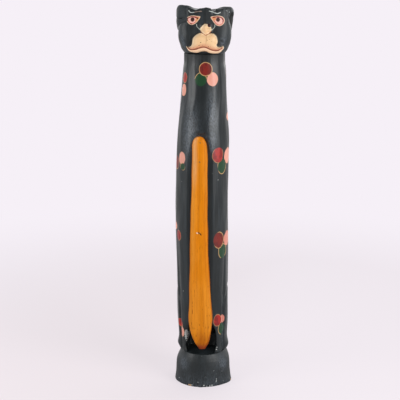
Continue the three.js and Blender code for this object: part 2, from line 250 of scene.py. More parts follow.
def round_ball(ball: np.ndarray) -> tuple[np.ndarray, np.ndarray]:
    """Give the angle from the front, in radians, and the share of the way up of points on a ball."""
    return np.arctan2(ball[:, 0], -ball[:, 1]), 1 - np.arccos(np.clip(ball[:, 2], -1, 1)) / math.pi


def around(angle: np.ndarray, degrees: float) -> np.ndarray:
    """Give how far round each angle is from a direction, -180 to 180 degrees."""
    return (angle - degrees + 180) % 360 - 180


@dataclass(frozen=True)
class Swell:
    """A soft rise of the skin round one place, or a dip where its depth is negative."""

    depth: float
    middle: float
    spread: float
    rise: float
    reach: float

    def on(self, sideways: np.ndarray, height: np.ndarray) -> np.ndarray:
        """Give the push outwards at places on the skin."""
        return self.depth * bell(sideways - self.middle, self.spread) * bell(height - self.rise, self.reach)


class Block:
    """A block of wood that is carved: a primitive whose points are pushed into the finished form."""

    def __init__(self, name: str) -> None:
        """Take over the primitive that was just added, under its name."""
        self.piece = bpy.context.object
        self.piece.name = self.piece.data.name = name

    @classmethod
    def ball(cls, name: str, segments: int, rings: int) -> Block:
        """Start from a ball with a radius of 1 mm, whose rings run from the bottom to the top.

        Args:
            name: Name of the piece.
            segments: Columns round it.
            rings: Rings from pole to pole.

        Returns:
            The block.
        """
        bpy.ops.object.select_all(action="DESELECT")
        bpy.ops.mesh.primitive_uv_sphere_add(segments=segments, ring_count=rings, radius=MM)
        return cls(name)

    def read(self, kind: str) -> np.ndarray:
        """Read three numbers for each point.

        Args:
            kind: Blender's name of what is read.

        Returns:
            A row for each point.
        """
        flat = np.empty(len(self.piece.data.vertices) * 3, np.float32)
        self.piece.data.vertices.foreach_get(kind, flat)
        return flat.reshape(-1, 3).astype(float)

    @property
    def points(self) -> np.ndarray:
        """Places of the points in millimetres."""
        return self.read("co") / MM

    @points.setter
    def points(self, places: np.ndarray) -> None:
        """Move the points to places in millimetres."""
        self.piece.data.vertices.foreach_set("co", (places * MM).astype(np.float32).ravel())
        self.piece.data.update()

    @property
    def normals(self) -> np.ndarray:
        """Outward directions at the points."""
        return self.read("normal")

    def pick(self) -> None:
        """Select this piece alone and make it the active one."""
        bpy.ops.object.select_all(action="DESELECT")
        self.piece.select_set(True)
        bpy.context.view_layer.objects.active = self.piece

    def apply(self, kind: str, **settings: object) -> None:
        """Add a modifier with its settings and apply it.

        Args:
            kind: Blender's name of the modifier.
            settings: Its settings.
        """
        self.pick()
        modifier = self.piece.modifiers.new(kind.lower(), kind)
        for key, value in settings.items():
            setattr(modifier, key, value)
        bpy.ops.object.modifier_apply(modifier=modifier.name)

    def even_out(self, grain: float, turns: int) -> None:
        """Give the block an even skin of small faces and smooth the tool's steps off it."""
        self.apply("REMESH", mode="VOXEL", voxel_size=grain * MM, adaptivity=0.0)
        self.apply("SMOOTH", factor=0.5, iterations=turns)

    def roughen(self, depth: float, grain: Sequence[float], seed: float) -> None:
        """Push the skin in and out by up to a depth, as an uneven hand does."""
        places = self.points
        self.points = places + self.normals * (depth * wander(places, grain, seed))[:, None]

    def mark(self, name: str, values: np.ndarray) -> None:
        """Keep a value for each point, which materials read by this name."""
        attribute = self.piece.data.attributes.new(name, "FLOAT", "POINT")
        attribute.data.foreach_set("value", values.astype(np.float32))

    def finish(self, material: Material, slot: Slot, nodes: Sequence[str]) -> None:
        """Smooth the shading, dress the piece and tie it to the frame.

        Args:
            material: Finish of the piece.
            slot: The record's slot for it; not used.
            nodes: Nodes that the piece stands for.
        """
        self.pick()
        bpy.ops.object.shade_smooth()
        self.piece.data.materials.clear()
        self.piece.data.materials.append(material)
        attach(self.piece, BODY)
        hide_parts(*nodes)
        log.info("%s: %d faces", self.piece.name, len(self.piece.data.polygons))


class NodeSheet:
    """A material's or group's node tree, written one node at a time."""

    def __init__(self, tree: bpy.types.NodeTree) -> None:
        """Clear the tree, which is written anew."""
        self.tree = tree
        tree.nodes.clear()

    def node(self, kind: str, inputs: dict | None = None, **settings: object) -> bpy.types.Node:
        """Add a node.

        Args:
            kind: Blender's name of the node without its prefix.
            inputs: Value or socket for each input, by name or number.
            settings: The node's own settings.

        Returns:
            The node.
        """
        made = self.tree.nodes.new(kind if kind.startswith("Node") else "ShaderNode" + kind)
        for key, value in settings.items():
            setattr(made, key, value)
        for key, value in (inputs or {}).items():
            if isinstance(value, Socket):
                self.tree.links.new(value, made.inputs[key])
            elif isinstance(value, tuple) and len(value) == 3 and made.inputs[key].type == "RGBA":
                made.inputs[key].default_value = (*value, 1.0)
            else:
                made.inputs[key].default_value = value
        return made

    def maths(self, operation: str, *values: object) -> Socket:
        """Combine numbers or sockets by one of Blender's operations."""
        return self.node("Math", dict(enumerate(values)), operation=operation).outputs[0]

    def times(self, value: object, share: object) -> Socket:
        """Multiply two numbers or sockets."""
        return self.maths("MULTIPLY", value, share)

    def plus(self, value: object, more: object) -> Socket:
        """Add two numbers or sockets."""
        return self.maths("ADD", value, more)

    def blend(self, share: object, base: object, top: object) -> Socket:
        """Lay a top colour over a base, as much of it as the share says."""
        return self.node("Mix", {0: share, 6: base, 7: top}, data_type="RGBA").outputs[2]

    def step(self, value: object, low: float, high: float) -> Socket:
        """Rise smoothly from 0 at low to 1 at high."""
        ranged = {"Value": value, "From Min": low, "From Max": high}
        return self.node("MapRange", ranged, interpolation_type="SMOOTHSTEP").outputs[0]

    def fall(self, value: object, low: float, high: float) -> Socket:
        """Fall smoothly from 1 at low to 0 at high."""
        ranged = {"Value": value, "From Min": low, "From Max": high, "To Min": 1.0, "To Max": 0.0}
        return self.node("MapRange", ranged, interpolation_type="SMOOTHSTEP").outputs[0]

    def speckle(self, vector: object, stretch: Sequence[float], detail: float = 3.0) -> Socket:
        """Make a smooth random pattern, about 0.3 to 0.7, that changes stretch times in a metre."""
        placed = self.node("Mapping", {"Vector": vector, "Scale": tuple(stretch)}).outputs[0]
        return self.node("TexNoise", {"Vector": placed, "Scale": 1.0, "Detail": detail}).outputs[0]

    def read(self, name: str) -> Socket:
        """Read a value kept on the piece's points."""
        return self.node("Attribute", attribute_name=name).outputs["Fac"]


class Group:
    """A shared effect: a node group with named inputs and outputs."""

    def __init__(self, name: str, inputs: dict[str, tuple[str, object]], outputs: dict[str, str]) -> None:
        """Make the group's tree and sockets.

        Args:
            name: Name of the effect.
            inputs: Socket kind and default value for each input.
            outputs: Socket kind for each output.
        """
        self.tree = bpy.data.node_groups.new(name, "ShaderNodeTree")
        self.sheet = NodeSheet(self.tree)
        for socket, (kind, default) in inputs.items():
            made = self.tree.interface.new_socket(socket, in_out="INPUT", socket_type="NodeSocket" + kind)
            if default is not None:
                made.default_value = default
        for socket, kind in outputs.items():
            self.tree.interface.new_socket(socket, in_out="OUTPUT", socket_type="NodeSocket" + kind)
        self.source = self.sheet.node("NodeGroupInput").outputs
        self.result = self.sheet.node("NodeGroupOutput").inputs

    def send(self, name: str, socket: Socket) -> None:
        """Send a socket's value to an output of the group."""
        self.tree.links.new(socket, self.result[name])

    def place(self, sheet: NodeSheet, inputs: dict) -> bpy.types.NodeOutputs:
        """Use the effect in a material, with these values or sockets, and give its outputs."""
        return sheet.node("Group", inputs, node_tree=self.tree).outputs


class MaterialSheet(NodeSheet):
    """The node tree of a new material."""

    def __init__(self, name: str) -> None:
        """Start the material and read the place on the piece, in metres.

        Args:
            name: Name of the material.
        """
        self.material = bpy.data.materials.new(name)
        self.material.use_nodes = True
        super().__init__(self.material.node_tree)
        self.place = self.node("TexCoord").outputs["Object"]

    def coat(self, colour: object, mask: object, strength: float, tint: object) -> Socket:
        """Lay a tint over a colour where a mask shows it, at a strength."""
        return self.blend(self.times(mask, strength), colour, tint)

    def bump(self, height: object, strength: float, depth: float) -> Socket:
        """Turn a height into small slopes, as deep as the depth in metres."""
        return self.node("Bump", {"Height": height, "Strength": strength, "Distance": depth}).outputs[0]

    def close(self, inputs: dict) -> Material:
        """Shade the surface by the shader's inputs and finish the material.

        Args:
            inputs: Value or socket for each input that isn't left at its default.

        Returns:
            The material.
        """
        shader = self.node("BsdfPrincipled", inputs)
        self.node("OutputMaterial", {"Surface": shader.outputs[0]})
        return self.material


def brushwork_group() -> Group:
    """Build the effect of thin paint that was brushed along the log and has rubbed unevenly.

    Returns:
        The effect, which puts out a colour, a roughness and a height.
    """
    group = Group(
        "brushed_paint",
        {
            "Vector": ("Vector", None),
            "Colour": ("Color", (0.03, 0.04, 0.045, 1)),
            "Rubbed Colour": ("Color", (0.1, 0.12, 0.13, 1)),
            "Roughness": ("Float", 0.4),
            "Streaks": ("Float", 0.5),
        },
        {"Colour": "Color", "Roughness": "Float", "Height": "Float"},
    )
    sheet, source = group.sheet, group.source
    vector = source["Vector"]
    broad = sheet.speckle(vector, (34, 34, 3.5), 2.0)
    fine = sheet.speckle(vector, (260, 260, 14), 4.0)
    cloudy = sheet.speckle(vector, (16, 16, 9), 3.0)
    streak = sheet.plus(sheet.times(broad, 0.5), sheet.times(fine, 0.5))
    lifted = sheet.times(sheet.step(streak, 0.44, 0.66), source["Streaks"])
    bright = sheet.blend(lifted, source["Colour"], source["Rubbed Colour"])
    dull = sheet.blend(sheet.step(cloudy, 0.5, 0.75), bright, source["Colour"])
    group.send("Colour", dull)
    spread = sheet.times(sheet.maths("SUBTRACT", streak, 0.5), 0.55)
    group.send("Roughness", sheet.plus(source["Roughness"], spread))
    group.send("Height", sheet.plus(sheet.times(fine, 0.6), sheet.times(broad, 0.8)))
    return group


def wear_group() -> Group:
    """Build the effect of small chips and scuffs that bare the pale ground and the wood.

    Returns:
        The effect, which puts out a mask of chips and a mask of scuffs.
    """
    group = Group(
        "chips_and_scuffs",
        {"Vector": ("Vector", None), "Chips": ("Float", 0.5), "Scuffs": ("Float", 0.5)},
        {"Chips": "Float", "Scuffs": "Float"},
    )
    sheet, source = group.sheet, group.source
    vector = source["Vector"]
    spots = sheet.speckle(vector, (150, 150, 110), 2.0)
    patches = sheet.speckle(vector, (14, 14, 7), 2.0)
    gate = sheet.times(sheet.step(patches, 0.52, 0.66), source["Chips"])
    chips = sheet.step(sheet.plus(spots, sheet.times(gate, 0.14)), 0.81, 0.83)
    group.send("Chips", chips)
    scratches = sheet.speckle(vector, (420, 420, 24), 3.0)
    areas = sheet.speckle(vector, (22, 22, 11), 2.0)
    scuffs = sheet.times(sheet.step(scratches, 0.55, 0.7), sheet.step(areas, 0.55, 0.7))
    group.send("Scuffs", sheet.times(scuffs, source["Scuffs"]))
    return group


def grain_group() -> Group:
    """Build the effect of straight wood grain that shows through a stain.

    Returns:
        The effect, which puts out a mask of dark grain, a mask of blotches and a height.
    """
    group = Group(
        "wood_grain",
        {"Vector": ("Vector", None), "Fineness": ("Float", 1.0)},
        {"Grain": "Float", "Blotches": "Float", "Height": "Float"},
    )
    sheet, source = group.sheet, group.source
    scaled = sheet.node("VectorMath", {0: source["Vector"], "Scale": source["Fineness"]}, operation="SCALE")
    vector = scaled.outputs[0]
    lines = sheet.speckle(vector, (190, 190, 5), 4.0)
    fibres = sheet.speckle(vector, (700, 700, 22), 3.0)
    blotches = sheet.speckle(vector, (30, 30, 12), 3.0)
    both = sheet.plus(sheet.times(lines, 0.65), sheet.times(fibres, 0.35))
    group.send("Grain", sheet.step(both, 0.4, 0.62))
    group.send("Blotches", sheet.step(blotches, 0.42, 0.68))
    group.send("Height", both)
    return group


@dataclass
class Effects:
    """The shared effects, each built once."""

    brushwork: Group = field(default_factory=brushwork_group)
    wear: Group = field(default_factory=wear_group)
    grain: Group = field(default_factory=grain_group)


@dataclass(frozen=True)
class DarkPaint:
    """Dark slate-green satin paint, with the dots, the face, painted shade and painted sheen over it.

    Marks of the hand and edges are in millimetres, and the bump's depth is in metres.
    """

    effects: Effects
    ground: Colour = paint(27, 32, 34)
    rubbed: Colour = paint(48, 57, 63)
    # Pale blue-grey of rubbed paint and of painted sheen and highlights
    haze: Colour = paint(126, 136, 148)
    # Near black of the painted shade in hollows and under the jaw
    hidden: Colour = paint(9, 10, 10)
    wood: Colour = paint(206, 168, 128)
    # Pale filler bared by chips, also used for a painted highlight on the left foreleg
    filler: Colour = paint(196, 200, 198)
    scar: Colour = paint(6, 6, 7)
    red: Colour = paint(128, 32, 22)
    dull_red: Colour = paint(100, 26, 22)
    rose: Colour = paint(184, 42, 34)
    dull_rose: Colour = paint(140, 30, 26)
    green: Colour = paint(20, 64, 34)
    pink: Colour = paint(236, 162, 142)
    coral: Colour = paint(222, 138, 120)
    edging: Colour = paint(216, 170, 116)
    cream: Colour = paint(243, 201, 152)
    pale: Colour = paint(248, 222, 186)
    # Darker pink near the mouth: partly blush, partly painted shade
    blush: Colour = paint(226, 156, 118)
    lip: Colour = paint(255, 214, 176)
    crease: Colour = paint(176, 108, 66)
    maroon: Colour = paint(128, 22, 22)
    nostril: Colour = paint(50, 4, 10)
    mouth: Colour = paint(146, 70, 44)
    brown: Colour = paint(92, 46, 18)
    line_white: Colour = paint(198, 204, 200)
    line_dim: Colour = paint(180, 188, 180)
    line_faint: Colour = paint(150, 128, 116)
    eye_rim: Colour = paint(234, 200, 170)
    eye_ring: Colour = paint(206, 92, 80)
    eye_tan: Colour = paint(222, 148, 100)
    eye: Colour = paint(242, 186, 172)
    pupil: Colour = paint(64, 30, 24)
    roughness: float = 0.36

    unsteadiness: float = 2.4
    edge: float = 0.4
    line_edge: float = 0.35
    rubbing: float = 0.62
    scuffing: float = 0.3
    chip_depth: float = 1.2
    chip_roughness: float = 0.4
    bump_strength: float = 0.35
    bump_depth: float = 0.0011

    def painted_dots(self, sheet: MaterialSheet, base: object, hand: object) -> Socket:
        """Paint the clusters of dots over a colour, with their thin broken edging.

        Args:
            sheet: The material's node tree.
            base: Colour below.
            hand: Unsteadiness of the hand, in millimetres.

        Returns:
            The colour with dots.
        """
        colour = base
        broken = sheet.step(sheet.speckle(sheet.place, (26, 26, 26), 1.0), 0.42, 0.5)
        patchy = sheet.step(sheet.speckle(sheet.place, (110, 110, 60), 2.0), 0.42, 0.6)
        coats = (
            ("dot_pink", self.pink, 0.2),
            ("dot_coral", self.coral, 0.0),
            ("dot_green", self.green, 0.9),
            ("dot_red", sheet.blend(patchy, self.red, self.dull_red), 0.9),
            ("dot_rose", sheet.blend(patchy, self.rose, self.dull_rose), 0.5),
        )
        for name, tint, edging in coats:
            distance = sheet.plus(sheet.read(name), hand)
            colour = sheet.blend(sheet.fall(distance, -0.3, self.edge), colour, tint)
            rim = sheet.times(sheet.fall(sheet.maths("ABSOLUTE", distance), 0.5, 1.0), broken)
            colour = sheet.coat(colour, rim, edging, self.edging)
        return colour

    def painted_face(self, sheet: MaterialSheet, base: object, hand: object) -> Socket:
        """Paint the muzzle, nose, mouth, eyes, brows and tear lines over a colour, with painted highlight
        and shade on the muzzle and nose.

        Args:
            sheet: The material's node tree.
            base: Colour below.
            hand: Unsteadiness of the hand, in millimetres.

        Returns:
            The colour with the face.
        """
        cream = sheet.plus(sheet.read("face_cream"), hand)
        colour = sheet.blend(sheet.fall(cream, -self.edge, self.edge), base, self.cream)
        inside = sheet.fall(cream, -0.8, -0.2)
        # Pinker and darker towards the mouth: partly blush, partly painted shade where the muzzle turns
        # under.
        blush = sheet.times(sheet.fall(sheet.read("face_mouth"), 1.5, 13), 0.9)
        specks = sheet.step(sheet.speckle(sheet.place, (260, 260, 260), 1.0), 0.66, 0.72)
        tones = (
            # Painted highlight: a paler band inside the rim of the muzzle and nose.
            (sheet.step(cream, -5, -1), inside, self.pale),
            (blush, sheet.fall(cream, -3.2, -1.8), self.blush),
            (sheet.read("face_lip"), inside, self.lip),
            (specks, sheet.fall(cream, -14, -9), self.brown),
        )
        for mask, within, tint in tones:
            colour = sheet.coat(colour, mask, within, tint)
        layers = (
            ("face_mouth", 1.5, self.mouth),
            ("face_cleft", 0.5, self.crease),
            # Under the nose: partly a painted line, partly painted shadow where the nose stands over the
            # muzzle
            ("face_fold", 0.8, self.crease),
            ("face_nostril", 0.0, self.nostril),
            ("face_line", 0.95, self.line_white),
            ("face_faint", 0.8, self.line_faint),
            ("face_tear", 0.75, self.line_dim),
            ("eye_open", 0.5, self.eye_rim),
            ("eye_open", -1.1, self.eye_ring),
            ("eye_open", -3.0, self.eye),
            ("eye_tan", 0.0, self.eye_tan),
            ("eye_lid", 1.3, self.maroon),
            ("eye_corner", 0.0, self.brown),
            ("eye_pupil", 0.0, self.pupil),
        )
        half_hand = sheet.times(hand, 0.5)
        for name, width, tint in layers:
            distance = sheet.plus(sheet.read(name), half_hand)
            mask = sheet.fall(distance, width - self.line_edge, width + self.line_edge)
            colour = sheet.blend(mask, colour, tint)
        return colour

    def make(
        self, name: str, dots: bool = False, face: bool = False, chips: float = 0.5, dull: float = 0.0
    ) -> Material:
        """Build the material.

        Args:
            name: Name of the material.
            dots: Whether the piece has painted dots.
            face: Whether the piece has the painted face.
            chips: How chipped the piece is.
            dull: How much rougher than the rest the piece is.

        Returns:
            The material.
        """
        sheet = MaterialSheet(name)
        place = sheet.place
        coat = {"Colour": self.ground, "Rubbed Colour": self.rubbed, "Roughness": self.roughness + dull}
        brush = self.effects.brushwork.place(sheet, {"Vector": place, **coat})
        wear = self.effects.wear.place(sheet, {"Vector": place, "Chips": chips, "Scuffs": chips})
        unsteady = sheet.speckle(place, (90, 90, 60), 2.0)
        hand = sheet.times(sheet.maths("SUBTRACT", unsteady, 0.5), self.unsteadiness)
        # Painted shade: the colour goes towards near black where the recess mark says, in hollows and under
        # the jaw.
        recess = sheet.read("recess")
        colour = sheet.blend(recess, brush["Colour"], self.hidden)
        if dots:
            colour = self.painted_dots(sheet, colour, hand)
        if face:
            colour = self.painted_face(sheet, colour, hand)
        # Rubbed paint and painted sheen: pale blue-grey flecks where the scuff mark says, and over the
        # random scuffs.
        flecks = sheet.step(sheet.speckle(place, (420, 420, 160), 5.0), 0.25, 0.8)
        colour = sheet.coat(colour, sheet.times(flecks, sheet.read("scuff")), self.rubbing, self.haze)
        colour = sheet.coat(colour, wear["Scuffs"], self.scuffing, self.haze)
        # Scars, bared wood and pale filler; the pale flake marks also hold a painted highlight.
        scar, chip, flake = (
            sheet.fall(sheet.plus(sheet.read(mark), sheet.times(hand, share)), -self.edge, self.edge)
            for mark, share in (("scar", 0.4), ("chip", 1.0), ("flake", 1.0))
        )
        loose = sheet.blend(sheet.step(unsteady, 0.5, 0.6), self.filler, self.wood)
        bared = ((scar, self.scar), (wear["Chips"], loose), (chip, self.wood), (flake, self.filler))
        for mask, tint in bared:
            colour = sheet.blend(mask, colour, tint)
        dented = sheet.maths("MAXIMUM", wear["Chips"], sheet.maths("MAXIMUM", chip, flake))
        dented = sheet.maths("MAXIMUM", dented, scar)
        height = sheet.maths("SUBTRACT", brush["Height"], sheet.times(dented, self.chip_depth))
        rougher = sheet.times(sheet.plus(dented, recess), self.chip_roughness)
        rough = sheet.plus(brush["Roughness"], rougher)
        bump = sheet.bump(height, self.bump_strength, self.bump_depth)
        return sheet.close({"Base Color": colour, "Roughness": rough, "Normal": bump})


@dataclass(frozen=True)
class OchreStain:
    """Ochre stain under varnish, with the grain and the carver's marks showing."""

    effects: Effects
    stain: Colour = paint(234, 136, 4)
    # Paler ochre of random blotches and scuffs, and of painted light and highlights
    pale: Colour = paint(248, 160, 48)
    gold: Colour = paint(226, 132, 0)
    brown: Colour = paint(160, 80, 4)
    # Pale peach of the painted highlight high on the left side
    bloom: Colour = paint(236, 178, 124)
    burnt: Colour = paint(146, 58, 0)
    tip: Colour = paint(150, 60, 24)
    wood: Colour = paint(236, 214, 186)
    scar: Colour = paint(70, 34, 12)
    roughness: float = 0.44
    grain_roughness: float = 0.12
    gloss: float = 0.17
    bump_strength: float = 0.3
    bump_depth: float = 0.0008

    def make(self, name: str) -> Material:
        """Build the material.

        Args:
            name: Name of the material.

        Returns:
            The material.
        """
        sheet = MaterialSheet(name)
        grain = self.effects.grain.place(sheet, {"Vector": sheet.place, "Fineness": 1.0})
        wear = self.effects.wear.place(sheet, {"Vector": sheet.place, "Chips": 0.0, "Scuffs": 0.4})
        pores = sheet.step(sheet.speckle(sheet.place, (330, 330, 60), 2.0), 0.62, 0.7)
        coats = (
            (grain["Blotches"], 0.35, self.pale),
            # Painted highlight down the left side and painted light on the lower strip, then a paler painted
            # highlight high on the left
            (sheet.read("strip_pale"), 0.8, self.pale),
            (sheet.read("strip_bloom"), 0.6, self.bloom),
            (sheet.read("strip_gold"), 0.7, self.gold),
            (grain["Grain"], 0.3, self.brown),
            (sheet.read("strip_edge"), 0.85, self.brown),
            (sheet.times(grain["Blotches"], sheet.read("strip_low")), 0.55, self.burnt),
            (sheet.read("strip_tip"), 1.0, self.tip),
            (wear["Scuffs"], 0.25, self.pale),
            (sheet.times(pores, sheet.read("strip_pores")), 1.0, self.brown),
            (sheet.fall(sheet.read("scar"), -0.3, 0.4), 1.0, self.scar),
            (sheet.fall(sheet.read("chip"), -0.3, 0.3), 1.0, self.wood),
        )
        colour = self.stain
        for mask, strength, tint in coats:
            colour = sheet.coat(colour, mask, strength, tint)
        rough = sheet.plus(sheet.times(grain["Grain"], self.grain_roughness), self.roughness)
        bump = sheet.bump(grain["Height"], self.bump_strength, self.bump_depth)
        shine = {"Roughness": rough, "Specular IOR Level": self.gloss}
        return sheet.close({"Base Color": colour, "Normal": bump, **shine})


@dataclass(frozen=True)
class BareWood:
    """Pale unpainted wood of the dowels and pins."""

    effects: Effects
    wood: Colour = paint(206, 166, 116)
    brown: Colour = paint(150, 106, 62)
    fineness: float = 1.4
    roughness: float = 0.65
    blotch_roughness: float = 0.1
    bump_strength: float = 0.4
    bump_depth: float = 0.0006

    def make(self, name: str) -> Material:
        """Build the material.

        Args:
            name: Name of the material.

        Returns:
            The material.
        """
        sheet = MaterialSheet(name)
        grain = self.effects.grain.place(sheet, {"Vector": sheet.place, "Fineness": self.fineness})
        colour = sheet.blend(grain["Grain"], self.wood, self.brown)
        rough = sheet.plus(sheet.times(grain["Blotches"], self.blotch_roughness), self.roughness)
        bump = sheet.bump(grain["Height"], self.bump_strength, self.bump_depth)
        return sheet.close({"Base Color": colour, "Roughness": rough, "Normal": bump})


@dataclass(frozen=True)
class StainedSteel:
    """Small nail heads, dull and stained over with the strip."""

    steel: Colour = paint(120, 100, 76)
    stain: Colour = paint(196, 118, 30)
    roughness: float = 0.5
    bare_metal: float = 0.9
    stain_cover: float = 0.8

    def make(self, name: str) -> Material:
        """Build the material.

        Args:
            name: Name of the material.

        Returns:
            The material.
        """
        sheet = MaterialSheet(name)
        patches = sheet.step(sheet.speckle(sheet.place, (900, 900, 900), 2.0), 0.42, 0.58)
        colour = sheet.blend(patches, self.steel, self.stain)
        metal = sheet.maths("SUBTRACT", self.bare_metal, sheet.times(patches, self.stain_cover))
        return sheet.close({"Base Color": colour, "Metallic": metal, "Roughness": self.roughness})


@dataclass(frozen=True)
class Wear:
    """Where a dark piece is chipped, scarred and scuffed, and has painted sheen, highlights and shadow
    lines, by angle from the front and height.
    """

    chips: tuple[tuple[float, float, float], ...] = ()
    flakes: tuple[tuple[float, float, float], ...] = ()
    scars: tuple[tuple[float, float, float], ...] = ()
    # Patches of rubbed paint, painted sheen and painted light: angle, height, width and height of each
    scuffs: tuple[tuple[float, float, float, float], ...] = ()
    cracks: tuple[Points, ...] = ()
    crack_width: float = 1.1

    def spots(self, angle: np.ndarray, height: np.ndarray, radius: float, marks: Sequence) -> np.ndarray:
        """Measure how far the skin is outside a few round marks.

        Args:
            angle: Angle of each point from the front.
            height: Height of each point.
            radius: Radius of the piece, which turns angles into lengths.
            marks: Angle, height and half size of each mark.

        Returns:
            The distance of each point, negative inside a mark.
        """
        nearest = np.full(len(angle), FAR)
        for degrees, rise, size in marks:
            across = np.radians(around(angle, degrees)) * radius
            nearest = np.minimum(nearest, np.hypot(across, height - rise) - size)
        return nearest

    def mark(self, block: Block, radius: float) -> None:
        """Keep the marks on a piece.

        Args:
            block: The carved piece.
            radius: Its radius.
        """
        x, y, z = block.points.T
        angle = np.degrees(np.arctan2(x, -y))
        block.mark("chip", self.spots(angle, z, radius, self.chips))
        block.mark("flake", self.spots(angle, z, radius, self.flakes))
        scar = self.spots(angle, z, radius, self.scars)
        unrolled = np.column_stack([np.radians(angle) * radius, z])
        for crack in self.cracks:
            line = np.array([(math.radians(degrees) * radius, rise) for degrees, rise in crack])
            scar = np.minimum(scar, line_distance(unrolled, line, closed=False) - self.crack_width / 2)
        block.mark("scar", scar)
        scuff = np.zeros(len(z))
        for degrees, rise, wide, high in self.scuffs:
            scuff = np.maximum(scuff, bell(np.hypot((angle - degrees) / wide, (z - rise) / high), 1))
        block.mark("scuff", scuff)


@dataclass(frozen=True)
class Dot:
    """One painted dot on the log: its colour's attribute, its place and its half sizes."""

    colour: str
    degrees: float
    height: float
    half_width: float
    half_height: float


def cluster(degrees: float, height: float, size: float, flip: bool) -> list[Dot]:
    """Lay out a cluster of three dots: red and pink side by side, and green below.

    Args:
        degrees: Angle of the red dot's centre from the front, positive towards the cat's left.
        height: Height of the red dot's centre.
        size: Radius of the red dot.
        flip: Whether the pink dot is on the other side of the red one.

    Returns:
        The three dots.
    """
    way = -1 if flip else 1
    return [
        Dot("dot_pink", degrees + way * 30, height - 2, size * 0.95, size * 1.1),
        Dot("dot_green", degrees + way * 12, height - size * 1.7, size * 0.85, size * 1.05),
        Dot("dot_red", degrees, height, size, size * 1.08),
    ]


@dataclass(frozen=True)
class LogPaint:
    """The painted dots on the log."""

    seen: tuple[Dot, ...] = (
        Dot("dot_green", -4.5, 820.5, 15.5, 16.5),
        Dot("dot_pink", 27.5, 821, 15.5, 17),
        Dot("dot_red", 8.3, 846, 17, 16.5),
        Dot("dot_rose", -57, 823, 10, 13),
        Dot("dot_pink", -58.5, 792, 10.5, 15),
        Dot("dot_pink", 92, 722, 17, 11),
        Dot("dot_pink", 77.5, 623, 20, 21),
        Dot("dot_green", 54, 599, 16, 20),
        Dot("dot_rose", 41.5, 629, 17, 19.5),
        Dot("dot_pink", -47.5, 619, 12.5, 16),
        Dot("dot_red", -70, 604, 15, 17),
        Dot("dot_green", -44, 597, 9, 9),
        Dot("dot_red", 46, 404, 17.5, 21.5),
        Dot("dot_green", 57, 372, 15.5, 19.5),
        Dot("dot_coral", 77, 402, 19, 20),
        Dot("dot_pink", -80, 434, 18, 12),
        Dot("dot_rose", -58, 412, 11, 14),
        Dot("dot_rose", 43.5, 182, 12.5, 16.5),
        Dot("dot_green", 57, 156, 13, 17),
        Dot("dot_coral", 60, 180, 11, 14.5),
        Dot("dot_rose", -66, 165, 16, 11),
        Dot("dot_pink", -55, 144, 9.5, 14.5),
    )
    clusters: tuple[tuple[float, float, float, bool], ...] = (
        (-112, 742, 15, True), (104, 836, 14, False), (118, 500, 18, False), (-122, 560, 18, True),
        (-104, 300, 18, True), (112, 292, 18, False), (168, 690, 17, False), (-160, 420, 17, False),
        (170, 235, 17, True),
    )

    def dots(self) -> list[Dot]:
        """List every dot."""
        return [*self.seen, *(dot for spot in self.clusters for dot in cluster(*spot))]


